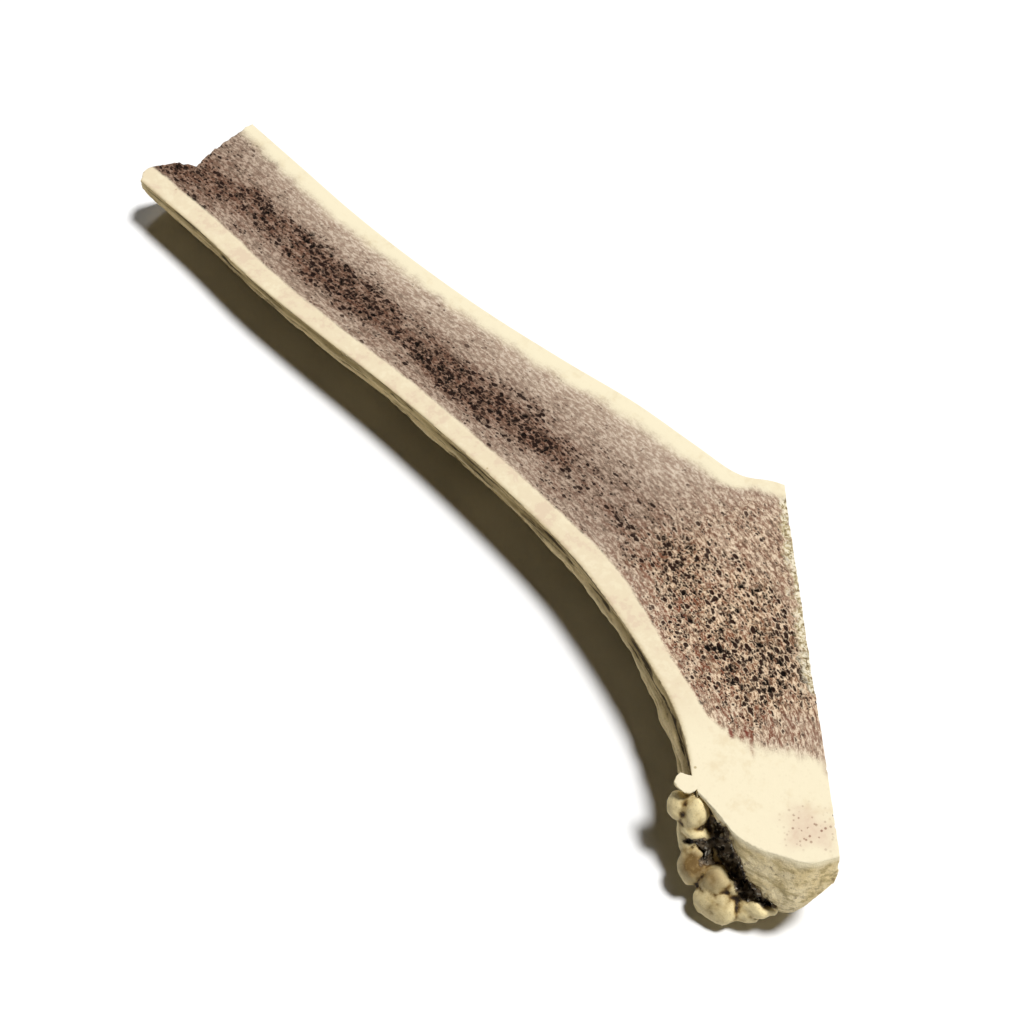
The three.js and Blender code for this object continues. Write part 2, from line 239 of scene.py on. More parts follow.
def smooth_curve(knots: Array, t: Array) -> Array:
    """Catmull-Rom curve through knots at equal steps of t, with a mirrored knot beyond each end.

    Args:
        knots: Points or values, shape (k, d).
        t: Places from 0 to 1, shape (n,).

    Returns:
        Points, shape (n, d).
    """
    run = np.vstack([2 * knots[:1] - knots[1:2], knots, 2 * knots[-1:] - knots[-2:-1]])
    place = np.clip(t, 0, 1) * (len(knots) - 1)
    first = np.minimum(place.astype(int), len(knots) - 2)
    w = (place - first)[:, None]
    a, b, c, d = (run[first + k] for k in range(4))
    return b + 0.5 * w * (c - a + w * (2 * a - 5 * b + 4 * c - d + w * (3 * (b - c) + d - a)))


def smooth_values(values: Sequence[float], t: Array) -> Array:
    """Smooth function through values at equal steps of t from 0 to 1."""
    return smooth_curve(np.array(values, dtype=float)[:, None], t)[:, 0]


def burr_point(along: Array, down: Array, out: Array) -> Array:
    """Points of the burr end, from lengths along its chord, down its leaning plane and out of it.

    Args:
        along: Lengths along the chord.
        down: Lengths down the leaning plane.
        out: Lengths out of the plane.

    Returns:
        Points, with a last axis of 3.
    """
    steep = math.hypot(1, BURR_LEAN)
    flat = CHORD_START + along[..., None] * CHORD
    return flat + (BURR_LEAN * down / steep + out)[..., None] * BURRWARD + (down / steep)[..., None] * DOWN


def burr_axes() -> Array:
    """Rows: against the chord, down the leaning burr and out of it.

    Returns:
        Unit vectors, shape (3, 3).
    """
    down = BURR_LEAN * BURRWARD + DOWN
    down /= np.linalg.norm(down)
    out = np.cross(down, CHORD)
    return np.stack([-CHORD / np.linalg.norm(CHORD), down, out / np.linalg.norm(out)])


@dataclass(frozen=True)
class Crevice:
    """The crumbly dark crack between the pearls and the cast scar.

    It is described on a plane square to the way it runs into the bone: branches of points with the
    crack's half width at each, as (across, up, half width).
    """

    across: Triple = (-0.7103, -0.7039, 0.0)
    up: Triple = (0.5766, -0.5819, 0.5736)
    branches: tuple[tuple[Triple, ...], ...] = (
        ((37.7, -66.6, 0.2), (38.8, -68.2, 1.1), (39.5, -71.1, 1.4), (41.0, -74.1, 1.3),
         (42.4, -77.1, 1.1), (43.9, -78.9, 1.5), (46.3, -80.4, 0.8), (48.0, -81.2, 0.2)),
        ((39.4, -70.9, 0.8), (36.8, -70.9, 0.7), (33.8, -70.7, 0.3)),
        ((37.6, -72.6, 0.7), (36.9, -74.0, 0.9)),
    )
    ragged: float = 0.45
    ragged_size: float = 0.9
    soft_edge: float = 0.35
    below_face: float = 0.5
    crumb_heights: Pair = (0.9, 0.35)
    crumb_sizes: Pair = (1.1, 0.6)

    def crust(self, points: Array, spread: float = 0.0) -> Array:
        """Share of the crust at each point: 1 inside the crack, eased to 0 over its ragged edge.

        The distance to each stretch of a branch, less the half width there, is roughened by noise.

        Args:
            points: Places on the piece, shape (n, 3).
            spread: How much wider than the crack the crust is taken.

        Returns:
            Values from 0 to 1.
        """
        flat = np.stack([points @ np.array(self.across), points @ np.array(self.up)], axis=1)
        best = np.full(len(flat), 1e3)
        for branch in self.branches:
            for (x0, y0, w0), (x1, y1, w1) in zip(branch, branch[1:]):
                start, run = np.array([x0, y0]), np.array([x1 - x0, y1 - y0])
                share = np.clip((flat - start) @ run / (run @ run), 0, 1)
                gap = np.linalg.norm(flat - start - share[:, None] * run, axis=1) - (w0 + (w1 - w0) * share)
                best = np.minimum(best, gap)
        edge = best - spread + self.ragged * rough_noise(points / self.ragged_size, 101, 3)
        return ease(-edge, -self.soft_edge, self.soft_edge) * ease(-points[:, 2], 0.0, self.below_face)

    def crumbs(self, points: Array) -> Array:
        """Height of the crumbs on the crust, from a coarse and a fine noise.

        Args:
            points: Places on the piece, shape (n, 3).

        Returns:
            Heights.
        """
        coarse = rough_noise(points / self.crumb_sizes[0], 103, 2)
        fine = rough_noise(points / self.crumb_sizes[1], 105, 2)
        return self.crumb_heights[0] * np.abs(coarse) + self.crumb_heights[1] * fine


# ---- Meshes ---------------------------------------------------------------------------------------


@dataclass
class Shell:
    """A surface: its points, and its faces as rows of three or four point numbers, by zone."""

    points: Array
    faces: list[tuple[Array, Zone]] = field(default_factory=list)

    def volume(self) -> float:
        """Six times the signed volume under the faces, positive where they point outwards.

        Returns:
            The volume.
        """
        total = 0.0
        for rows, _ in self.faces:
            for k in range(1, rows.shape[1] - 1):
                a, b, c = (self.points[rows[:, i]] for i in (0, k, k + 1))
                total += float(np.einsum("ij,ij->", a, np.cross(b, c)))
        return total

    def outward(self) -> "Shell":
        """The same closed surface with its faces turned so that they point outwards.

        Returns:
            The surface itself.
        """
        if self.volume() < 0:
            self.faces = [(rows[:, ::-1], zone) for rows, zone in self.faces]
        return self

    def to_object(self, name: str) -> bpy.types.Object:
        """Puts the surface into a new mesh object whose material numbers are the zones.

        Args:
            name: The object's name.

        Returns:
            The object, linked to the scene.
        """
        corners = np.concatenate([rows.ravel() for rows, _ in self.faces])
        sizes = np.concatenate([np.full(len(rows), rows.shape[1]) for rows, _ in self.faces])
        zones = np.concatenate([np.full(len(rows), int(zone)) for rows, zone in self.faces])
        mesh = bpy.data.meshes.new(name)
        mesh.vertices.add(len(self.points))
        mesh.vertices.foreach_set("co", self.points.astype(np.float32).ravel())
        mesh.loops.add(len(corners))
        mesh.loops.foreach_set("vertex_index", corners.astype(np.int32))
        mesh.polygons.add(len(sizes))
        mesh.polygons.foreach_set("loop_start", (np.cumsum(sizes) - sizes).astype(np.int32))
        mesh.polygons.foreach_set("material_index", zones.astype(np.int32))
        mesh.update(calc_edges=True)
        made = bpy.data.objects.new(name, mesh)
        bpy.context.scene.collection.objects.link(made)
        return made


def grid_faces(rows: int, columns: int, wrap: bool = False) -> Array:
    """Four-sided faces between the points of a grid that are numbered row by row.

    Args:
        rows: Number of rows of points.
        columns: Number of points in a row.
        wrap: Whether the last point of a row joins the first.

    Returns:
        Point numbers, shape (n, 4).
    """
    i = np.arange(rows - 1)[:, None]
    j = np.arange(columns if wrap else columns - 1)[None, :]
    nxt = (j + 1) % columns
    quads = [i * columns + j, i * columns + nxt, (i + 1) * columns + nxt, (i + 1) * columns + j]
    return np.stack([q + 0 * i * j for q in quads], axis=-1).reshape(-1, 4)


def fan(tip: int, ring: Array, turned: bool = False) -> Array:
    """Triangles from one point to every side of a closed ring.

    Args:
        tip: Number of the point.
        ring: Point numbers round the ring.
        turned: Whether the faces look the other way.

    Returns:
        Point numbers, shape (n, 3).
    """
    after = np.roll(ring, -1)
    sides = (after, ring) if turned else (ring, after)
    return np.stack([np.full(len(ring), tip), *sides], axis=1)


def tube_faces(count: int, columns: int) -> tuple[Array, Array, Array]:
    """Faces of a closed tube whose points are numbered ring by ring, and then its two tips.

    Args:
        count: Number of points with the tips.
        columns: Number of points in a ring.

    Returns:
        The four-sided faces, and the triangles round the first and the last tip.
    """
    rows = (count - 2) // columns
    ring = np.arange(columns)
    last = (rows - 1) * columns + ring
    return grid_faces(rows, columns, wrap=True), fan(count - 2, ring, True), fan(count - 1, last)


def block_behind(front: Array, offset: Array, zone: Zone) -> Shell:
    """Closed block between a grid of points and the same grid moved by an offset.

    Args:
        front: The shaped side, shape (rows, columns, 3).
        offset: From the shaped side to the plain side behind it, shape (3,) or (rows, columns, 3).
        zone: The zone of all its faces.

    Returns:
        The block, with faces outwards.
    """
    rows, columns = front.shape[:2]
    count = rows * columns
    number = np.arange(count).reshape(rows, columns)
    rim = np.concatenate([number[0, :-1], number[:-1, -1], number[-1, :0:-1], number[:0:-1, 0]])
    after = np.roll(rim, -1)
    near = grid_faces(rows, columns)
    walls = np.stack([rim, rim + count, after + count, after], axis=1)
    faces = [near, (near + count)[:, ::-1], walls]
    points = np.concatenate([front.reshape(-1, 3), (front + offset).reshape(-1, 3)])
    return Shell(points, [(rows_, zone) for rows_ in faces]).outward()


def read(items: Any, name: str, width: int) -> Array:
    """Reads one property of a mesh's items as an array, shape (n, width) or (n,) for width 1.

    Args:
        items: The points, corners, edges or faces of a mesh.
        name: The property.
        width: How many numbers each item has.

    Returns:
        The numbers, whole ones left whole.
    """
    whole = name in ("vertex_index", "loop_start", "material_index", "vertices")
    values = np.empty(len(items) * width, dtype=np.int32 if whole else np.float32)
    items.foreach_get(name, values)
    values = values if width == 1 else values.reshape(-1, width)
    return values if whole else values.astype(float)


def apply_modifiers(target: bpy.types.Object) -> None:
    """Replaces an object's mesh by what its modifiers make of it, and drops the modifiers.

    Args:
        target: The object.
    """
    graph = bpy.context.evaluated_depsgraph_get()
    graph.update()
    done = bpy.data.meshes.new_from_object(target.evaluated_get(graph))
    target.modifiers.clear()
    target.data = done


class Change(Enum):
    """The two ways in which one closed solid changes another."""

    JOIN = "UNION"
    CUT = "DIFFERENCE"


def combine(target: bpy.types.Object, other: bpy.types.Object, change: Change) -> None:
    """Joins another closed object to the target or cuts it away, and removes the other.

    Args:
        target: The object that is changed.
        other: The object that is joined on or cut away.
        change: Which of the two.
    """
    boolean = target.modifiers.new(change.name.lower(), "BOOLEAN")
    boolean.operation = change.value
    boolean.solver = "MANIFOLD"
    boolean.material_mode = "INDEX"
    boolean.object = other
    apply_modifiers(target)
    bpy.data.objects.remove(other)


# ---- The shaft ------------------------------------------------------------------------------------


@dataclass(frozen=True)
class Ridges:
    """Lengthwise ridges of the grown surface, in millimetres and radians round the back.

    shoulder and groove are bands below the left edge: height, angle and width. The fine noises each
    have a length along the arm, a number of turns to a radian and a seed.
    """

    count: int = 8
    height: float = 0.3
    height_at_burr: float = 0.7
    fade: float = 0.3
    fine_fade: float = 0.12
    burr_span: Pair = (-10.0, 60.0)
    fine_span: Pair = (0.0, 50.0)
    knob_height: float = 0.5
    knob_spacing: float = 2.1
    shoulder: Triple = (1.8, 0.5, 0.3)
    groove: Triple = (-0.3, 0.3, 0.07)
    shoulder_x: tuple[float, ...] = (-110, -78, -74, -68, -60, -25, 0, 25, 110)
    shoulder_share: tuple[float, ...] = (0, 0, 0.1, 0.55, 1, 1, 0.5, 0.15, 0.1)
    fine_noises: tuple[tuple[float, float, int], ...] = (
        (13, 8, 31), (5, 24, 37), (1.3, 15, 41), (3.4, 6, 43))
    fine_heights: tuple[float, ...] = (0.25, 0.3, 0.06, 0.3)

    def coarse(self, x: Array, angle: Array) -> Array:
        """Height of the ridges, the shoulder and the groove: a cosine round the back that drifts
        along the arm, fades at the sawn edges and grows knobs towards the burr, plus two bell-shaped
        bands below the left edge.

        Args:
            x: Place of the left edge along the arm.
            angle: Angle round the back, from 0 at the left edge to pi.

        Returns:
            Heights.
        """
        burr_share = ease(-x, *self.burr_span) * (1 - angle / math.pi)
        height = self.height + (self.height_at_burr - self.height) * burr_share
        drift = 0.7 * np.sin(x / 27) + 0.4 * np.sin(x / 11)
        knobs = 1 + self.knob_height * burr_share * np.sin(x / self.knob_spacing + 3 * angle)
        waves = -height * knobs * self.faded(angle, self.fade) * np.cos(2 * self.count * angle + drift)
        swell = sum(h * np.exp(-(((angle - a) / w) ** 2)) for h, a, w in (self.shoulder, self.groove))
        return waves + swell * np.interp(x, self.shoulder_x, self.shoulder_share)

    def fine(self, x: Array, angle: Array) -> Array:
        """Finer grooves: noise stretched along the arm, at two widths, grain, and knobs at the burr.

        Args:
            x: Place of the left edge along the arm.
            angle: Angle round the back.

        Returns:
            Heights.
        """
        wide, narrow, grain, knobs = (
            height * rough_noise(np.stack([x / length, angle * turns], axis=1), seed, 2)
            for height, (length, turns, seed) in zip(self.fine_heights, self.fine_noises))
        return self.faded(angle, self.fine_fade) * (
            wide - np.abs(narrow) + grain + knobs * ease(-x, *self.fine_span))

    @staticmethod
    def faded(angle: Array, reach: float) -> Array:
        """1 round the back, eased to 0 within an angle of both sawn edges."""
        return ease(angle, 0, reach) * ease(math.pi - angle, 0, reach)


@dataclass(frozen=True)
class Shaft:
    """The arm as it grew: a loft of cross sections, open marrow inside a compact wall.

    tip_lengths says how far the far end juts out at each share of the width in tip_places, and
    end_sections at which section the marrow stops before the burr at each share in end_places.
    """

    sections: tuple[Section, ...] = SECTIONS
    ridges: Ridges = Ridges()
    spacing: float = 0.7
    back_points: int = 96
    top_points: int = 40
    overcut: float = 3.0
    cap_rings: int = 15
    halvings: int = 22
    crevice_depth: float = 2.6
    crevice_middle: Pair = (15.0, 5.0)
    crevice_ragged: float = 0.55
    break_middle: float = -5.0
    break_inset: float = 0.3
    break_depth: Pair = (0.25, 0.35)
    tip_reach: float = 14.0
    tip_places: tuple[float, ...] = (0, 0.06, 0.12, 0.18, 0.25, 0.34, 0.4, 0.5, 0.6, 0.9, 0.96, 1)
    tip_lengths: tuple[float, ...] = (3.6, 5.4, 5.7, 5.1, 3.9, 2.3, -1.1, -0.5, 0, 0.1, 0.3, -0.5)
    end_places: tuple[float, ...] = (0, 0.13, 0.2, 0.3, 0.4, 0.6, 0.75, 1)
    end_sections: tuple[float, ...] = (3.7, 3.5, 2.95, 2.46, 2.3, 2.3, 2.05, 1.9)

    @property
    def end_x(self) -> float:
        """Where along X the far end is."""
        return self.sections[-1].left[0]

    def value(self, name: str, t: Array) -> Array:
        """One of the sections' numbers, carried smoothly along the arm."""
        return smooth_values([getattr(section, name) for section in self.sections], t)

    def edge(self, name: str, t: Array) -> Array:
        """The left or right edge of the sawn face, shape (n, 2)."""
        return smooth_curve(np.array([getattr(section, name) for section in self.sections]), t)

    def stations(self) -> Array:
        """Places along the arm whose sections are about one spacing apart at their wider side.

        Returns:
            Places from 0 to 1.
        """
        knots = np.linspace(0, 1, len(self.sections))
        gaps = [np.linalg.norm(np.diff(self.edge(side, knots), axis=0), axis=1) for side in ("left", "right")]
        steps = np.round(np.maximum(*gaps) / self.spacing).astype(int)
        runs = [np.linspace(a, b, n, endpoint=False) for a, b, n in zip(knots, knots[1:], steps)]
        return np.concatenate([*runs, [1.0]])

    def locate(self, points: Array) -> tuple[Array, Array, Array]:
        """Finds the section that passes over each point, by halving the stretch it lies in.

        Args:
            points: Places, shape (n, 2 or 3), with any lean already taken off.

        Returns:
            The place along the arm, the place across the section and the section's width.
        """
        flat = points[:, :2]
        low, high = np.zeros(len(flat)), np.ones(len(flat))
        for _ in range(self.halvings):
            middle = (low + high) / 2
            left, right = self.edge("left", middle), self.edge("right", middle)
            across, away = right - left, flat - left
            ahead = across[:, 0] * away[:, 1] - across[:, 1] * away[:, 0] > 0
            low, high = np.where(ahead, middle, low), np.where(ahead, high, middle)
        left, right = self.edge("left", low), self.edge("right", low)
        width = np.linalg.norm(right - left, axis=1)
        place = ((flat - left) * (right - left)).sum(axis=1) / width**2
        return low, place, width

    def upright(self, points: Array) -> Array:
        """Points with the burr's lean taken off, so that each lies under its own section."""
        lean = self.value("lean", self.locate(points)[0])
        return points - (np.minimum(points[:, 2], 0) * -lean)[:, None] * BURRWARD

    def travelled(self, t: Array) -> Array:
        """Length along the arm up to each place, halfway between the two edges.

        Args:
            t: Places from 0 to 1.

        Returns:
            Lengths.
        """
        steps = np.linspace(0, 1, 400)
        middle = (self.edge("left", steps) + self.edge("right", steps)) / 2
        lengths = np.concatenate([[0], np.cumsum(np.linalg.norm(np.diff(middle, axis=0), axis=1))])
        return np.interp(t, steps, lengths)

    def run(self, x: Array, t: Array) -> Array:
        """Length along the arm, which counts on along X past the far end."""
        return self.travelled(t) + np.clip(x - self.end_x, 0, None)

    def tip(self, x: Array, place: Array) -> Array:
        """How far the far end juts at a place across it, fading out away from the end."""
        share = ease(x, self.end_x - self.tip_reach, self.end_x)
        return share * np.interp(place, self.tip_places, self.tip_lengths)

    def back(self, t: Array) -> Array:
        """The rounded back: an ellipse whose deepest point is at the belly, pushed out by the ridges
        and leant towards the burr in proportion to its depth.

        Args:
            t: Places along the arm.

        Returns:
            Points from the right edge round to the left one, shape (places, points, 3).
        """
        left, right = self.edge("left", t), self.edge("right", t)
        belly, depth, lean = (self.value(name, t)[:, None] for name in ("belly", "depth", "lean"))
        angle = np.linspace(math.pi, 0, self.back_points + 1)[None, :]
        place = belly - np.where(angle < math.pi / 2, belly, 1 - belly) * np.cos(angle)
        flat = left[:, None, :] + (right - left)[:, None, :] * place[..., None]
        back = np.concatenate([flat, (-depth * np.sin(angle))[..., None]], axis=2)
        middle = left + (right - left) * belly
        outward = back - np.concatenate([middle, np.zeros((len(t), 1))], axis=1)[:, None, :]
        outward /= np.linalg.norm(outward, axis=2, keepdims=True)
        x = np.broadcast_to(left[:, :1], place.shape).ravel()
        turn = np.broadcast_to(angle, place.shape).ravel()
        height = self.ridges.coarse(x, turn) + self.ridges.fine(x, turn)
        back += outward * height.reshape(place.shape)[..., None]
        back += (-lean * back[..., 2])[..., None] * BURRWARD
        back[..., 0] += self.tip(left[:, :1], place)
        return back

    def rings(self) -> Array:
        """Closed cross sections: over the top, above the sawn face, then round the back.

        Returns:
            Points, shape (stations, points in a ring, 3).
        """
        t = self.stations()
        back, x = self.back(t), self.edge("left", t)[:, :1]
        share = np.linspace(0, 1, self.top_points)[None, :]
        first, last = back[:, -1:], back[:, :1]
        top = first + (last - first) * share[..., None]
        ends = self.tip(x, np.array([[0.0, 1.0]]))
        top[..., 0] += self.tip(x, share) - ends[:, :1] * (1 - share) - ends[:, 1:] * share
        top[..., 2] = self.overcut
        return np.concatenate([top, back], axis=1)

    def crevice_floor(self, first: Array) -> tuple[Array, Array]:
        """Ragged rings that shrink from the first cross section to one point under the crevice.

        Args:
            first: The first cross section, shape (n, 3).

        Returns:
            The rings from the innermost outwards, shape (rings, n, 3), and the point.
        """
        sunk = first - self.crevice_depth * BURRWARD
        middle = burr_point(*(np.array([v]) for v in (*self.crevice_middle, -self.crevice_depth)))[0]
        shares = np.arange(self.cap_rings, 0, -1)[:, None, None]
        rings = sunk + (middle - sunk) * shares / (self.cap_rings + 1)
        rough = rough_noise(rings.reshape(-1, 3) / 1.3, 51, 3).reshape(rings.shape[:2])
        return rings + (self.crevice_ragged * rough)[..., None] * BURRWARD, middle

    def far_break(self, last: Array) -> tuple[Array, Array]:
        """Ragged rings that shrink from the last cross section to one point of the far end.

        Args:
            last: The last cross section, shape (n, 3).

        Returns:
            The rings from the outermost inwards, shape (rings, n, 3), and the point.
        """
        middle = np.array([self.end_x, last[:, 1].mean(), self.break_middle])
        shares = np.linspace(0, 1, self.cap_rings + 2)[1:-1, None, None]
        rings = last + (middle - last) * shares
        left_y, right_y = self.sections[-1].left[1], self.sections[-1].right[1]
        across = (rings[..., 1] - left_y) / (right_y - left_y)
        rough = rough_noise(rings[..., 1:].reshape(-1, 2) / 1.1, 57, 3).reshape(across.shape)
        deep = self.break_depth[0] + self.break_depth[1] * np.abs(rough)
        rings[..., 0] = self.end_x + np.interp(across, self.tip_places, self.tip_lengths) - deep
        return rings, middle - np.array([self.break_inset, 0, 0])

    def build(self) -> bpy.types.Object:
        """Lofts the rings and closes the burr end and the far end.

        Returns:
            The closed shaft.
        """
        rings = self.rings()
        size = rings.shape[1]
        floor, floor_middle = self.crevice_floor(rings[0])
        far, far_middle = self.far_break(rings[-1])
        tube = np.concatenate([floor, rings, far]).reshape(-1, 3)
        points = np.concatenate([tube, [floor_middle, far_middle]])
        sides, floor_fan, far_fan = tube_faces(len(points), size)
        ring_of = sides[:, 0] // size
        crevice = ring_of < len(floor)
        broken = ring_of >= len(floor) + len(rings) - 1
        shell = Shell(points, [
            (sides[crevice], Zone.CREVICE),
            (sides[~crevice & ~broken], Zone.GROWN),
            (sides[broken], Zone.BREAK),
            (floor_fan, Zone.CREVICE),
            (far_fan, Zone.BREAK),
        ])
        return shell.outward().to_object("shaft")


# ---- The burr and the seal ------------------------------------------------------------------------


@dataclass(frozen=True)
class Pearl:
    """One knob of the burr: its centre and its half sizes along the chord, down and out."""

    at: Triple
    size: Triple


@dataclass(frozen=True)
class Burr:
    """The ring of pearls round the cast end, with the collar and the flange that carry them."""

    pearls: tuple[Pearl, ...] = (
        Pearl((-75.7, 28.9, -0.2), (2.2, 1.4, 1.8)),
        Pearl((-74.0, 28.7, -0.1), (0.9, 1.1, 1.1)),
        Pearl((-76.0, 30.9, -4.6), (2.2, 2.6, 2.0)),
        Pearl((-77.6, 30.5, -4.8), (2.0, 2.8, 1.9)),
        Pearl((-79.2, 30.2, -4.7), (2.5, 4.0, 2.4)),
        Pearl((-81.0, 31.4, -7.4), (2.8, 1.9, 2.3)),
        Pearl((-83.6, 35.2, -11.4), (2.6, 3.5, 2.6)),
        Pearl((-88.3, 34.5, -11.6), (2.8, 2.9, 2.6)),
        Pearl((-90.0, 35.7, -14.8), (4.3, 3.6, 3.3)),
        Pearl((-91.5, 33.1, -11.2), (1.3, 1.7, 1.4)),
        Pearl((-94.8, 33.2, -14.8), (2.9, 2.6, 2.4)),
        Pearl((-96.2, 32.7, -12.7), (2.4, 1.8, 1.9)),
        Pearl((-98.1, 31.0, -12.4), (1.4, 1.4, 1.3)),
        Pearl((-79.6, 29.8, -12.0), (2.6, 3.0, 2.6)),
        Pearl((-85.2, 31.6, -15.0), (3.0, 2.8, 2.8)),
        Pearl((-91.2, 30.4, -15.2), (3.0, 2.6, 2.6)),
        Pearl((-95.8, 27.6, -13.0), (2.4, 2.2, 2.4)),
    )
    flange: Pearl = Pearl((-89.0, 24.6, -5.3), (12.8, 13.4, 3.2))
    collar: tuple[Triple, ...] = (
        (-76.4, 27.8, -2.5), (-78.2, 30.2, -6.5), (-81.1, 32.6, -10.3), (-86.0, 33.6, -13.2),
        (-91.0, 32.6, -13.6), (-95.0, 29.6, -12.4), (-97.0, 26.4, -10.2),
    )
    collar_radius: float = 2.2
    collar_steps: int = 60
    collar_sides: int = 20
    pearl_grid: tuple[int, int] = (28, 18)
    flange_grid: tuple[int, int] = (60, 40)
    flange_seed: int = 40
    crevice: Crevice = Crevice()
    voxel: float = 0.37
    roundings: int = 5
    crust_rise: float = -0.5
    skin: tuple[Bumps, ...] = (Bumps(0.22, 2.6, 70, 2), Bumps(0.1, 1.2, 71, 3), Bumps(0.05, 0.5, 74, 2))

    def lump(self, pearl: Pearl, seed: int, grid: tuple[int, int]) -> Shell:
        """A knob: a sphere stretched to its half sizes, its radius varied by a broad noise.

        Args:
            pearl: The knob's place and sizes.
            seed: Chooses its bumps.
            grid: Points round it, and rings from pole to pole.

        Returns:
            The closed knob.
        """
        columns, rows = grid
        polar = np.linspace(0, math.pi, rows + 2)[1:-1, None]
        turn = np.linspace(0, 2 * math.pi, columns, endpoint=False)[None, :]
        ball = [np.sin(polar) * np.cos(turn), np.sin(polar) * np.sin(turn), np.cos(polar) + 0 * turn]
        unit = np.concatenate([np.stack(ball, axis=-1).reshape(-1, 3), [[0, 0, 1.0], [0, 0, -1.0]]])
        broad, narrow = smooth_noise(unit * 1.6 + 7.0 * seed, 61), smooth_noise(unit * 4 + seed, 62)
        bumps = 1 + 0.13 * broad + 0.04 * narrow
        points = (unit * bumps[:, None] * np.array(pearl.size)) @ burr_axes() + np.array(pearl.at)
        return Shell(points, [(faces, Zone.BURR) for faces in tube_faces(len(points), columns)]).outward()

    def ring_beam(self) -> Shell:
        """The collar: a circle carried along its path, with its ends drawn to a point.

        Returns:
            The closed collar.
        """
        t = np.linspace(0, 1, self.collar_steps)
        path = smooth_curve(np.array(self.collar), t)
        ahead = np.gradient(path, axis=0)
        ahead /= np.linalg.norm(ahead, axis=1, keepdims=True)
        side = np.cross(ahead, -DOWN)
        side /= np.linalg.norm(side, axis=1, keepdims=True)
        rise = np.cross(side, ahead)
        turn = np.linspace(0, 2 * math.pi, self.collar_sides, endpoint=False)
        radius = self.collar_radius * np.sqrt(np.clip(1 - (2 * t - 1) ** 8, 0.02, 1))
        ring = np.cos(turn)[None, :, None] * side[:, None] + np.sin(turn)[None, :, None] * rise[:, None]
        tube = (path[:, None] + radius[:, None, None] * ring).reshape(-1, 3)
        points = np.concatenate([tube, path[:1], path[-1:]])
        grids = tube_faces(len(points), self.collar_sides)
        return Shell(points, [(faces, Zone.BURR) for faces in grids]).outward()

    def build(self) -> bpy.types.Object:
        """Fuses the knobs, collar and flange by remeshing, rounds the valleys and roughens the skin.

        Returns:
            The closed burr.
        """
        shells = [self.lump(pearl, k, self.pearl_grid) for k, pearl in enumerate(self.pearls)]
        shells += [self.ring_beam(), self.lump(self.flange, self.flange_seed, self.flange_grid)]
        starts = np.cumsum([0, *(len(shell.points) for shell in shells)])
        faces = [(rows + start, zone) for shell, start in zip(shells, starts) for rows, zone in shell.faces]
        burr = Shell(np.concatenate([shell.points for shell in shells]), faces).to_object("burr")
        remesh = burr.modifiers.new("fuse", "REMESH")
        remesh.mode = "VOXEL"
        remesh.voxel_size = self.voxel
        rounding = burr.modifiers.new("round", "SMOOTH")
        rounding.factor = 0.5
        rounding.iterations = self.roundings
        apply_modifiers(burr)
        mesh = burr.data
        mesh.polygons.foreach_set("material_index", np.full(len(mesh.polygons), int(Zone.BURR), np.int32))
        at, normal = read(mesh.vertices, "co", 3), read(mesh.vertex_normals, "vector", 3)
        rough = sum(bumps.at(at) for bumps in self.skin)
        rough += self.crevice.crust(at) * (self.crevice.crumbs(at) + self.crust_rise)
        mesh.vertices.foreach_set("co", (at + normal * rough[:, None]).astype(np.float32).ravel())
        return burr


@dataclass(frozen=True)
class Seal:
    """The domed scar where the antler was cast, set in the crevice inside the burr.

    bulge and depth run along the chord: how far the dome stands out, and how far down it reaches.
    """

    bulge: tuple[float, ...] = (0, 2.1, 4.4, 5.0, 4.5, 3.5, -0.4)
    depth: tuple[float, ...] = (0.3, 2.6, 6.6, 12.0, 13.8, 13.0, 5.5)
    root: float = 5.0
    fall: float = 0.97
    overcut: float = 1.0
    crust_rise: float = -1.3
    skin: tuple[Bumps, ...] = (Bumps(0.16, 2.6, 81, 3), Bumps(0.05, 0.6, 84, 2))
    pit_cell: float = 1.1
    pit_radii: Pair = (0.2, 0.45)
    pit_share: float = 0.2
    pit_depth: float = 0.25
    smooth_rim: Pair = (0.2, 1.2)
    crevice: Crevice = Crevice()
    columns: int = 110
    rows: int = 66

    def build(self) -> bpy.types.Object:
        """The dome: bulge(s) * sqrt(1 - fall * q^2) out of the burr at a place s along the chord and
        a share q of the depth there, with low bumps and small pits in its skin.

        Returns:
            The closed dome, down to its root.
        """
        place = np.linspace(0, 1, self.columns)[None, :] + np.zeros((self.rows, 1))
        share = np.sin(np.linspace(0, math.pi / 2, self.rows))[:, None] + np.zeros((1, self.columns))
        reach = smooth_values(self.depth, place.ravel()).reshape(place.shape)
        bulge = smooth_values(self.bulge, place.ravel()).reshape(place.shape)
        down = -self.overcut + (reach + self.overcut) * share
        spots = np.stack([place.ravel() * CHORD_LENGTH, down.ravel()], axis=1)
        skin = sum(bumps.at(spots) for bumps in self.skin)
        skin -= self.pit_depth * pit_field(
            spots, self.pit_cell, self.pit_radii, np.full(len(spots), self.pit_share), 86)
        skin = (skin * ease(spots[:, 1], *self.smooth_rim)).reshape(place.shape)
        dome = bulge * np.sqrt(1 - self.fall * share**2) + skin
        front = burr_point(place * CHORD_LENGTH, down, dome).reshape(-1, 3)
        sunk = self.crevice.crust(front) * (self.crevice.crumbs(front) + self.crust_rise)
        front = (front + sunk[:, None] * BURRWARD).reshape(*place.shape, 3)
        back = burr_point(place * CHORD_LENGTH, down, np.full(place.shape, -self.root))
        return block_behind(front, back - front, Zone.SEAL).to_object("seal")


# ---- Sawn surfaces --------------------------------------------------------------------------------


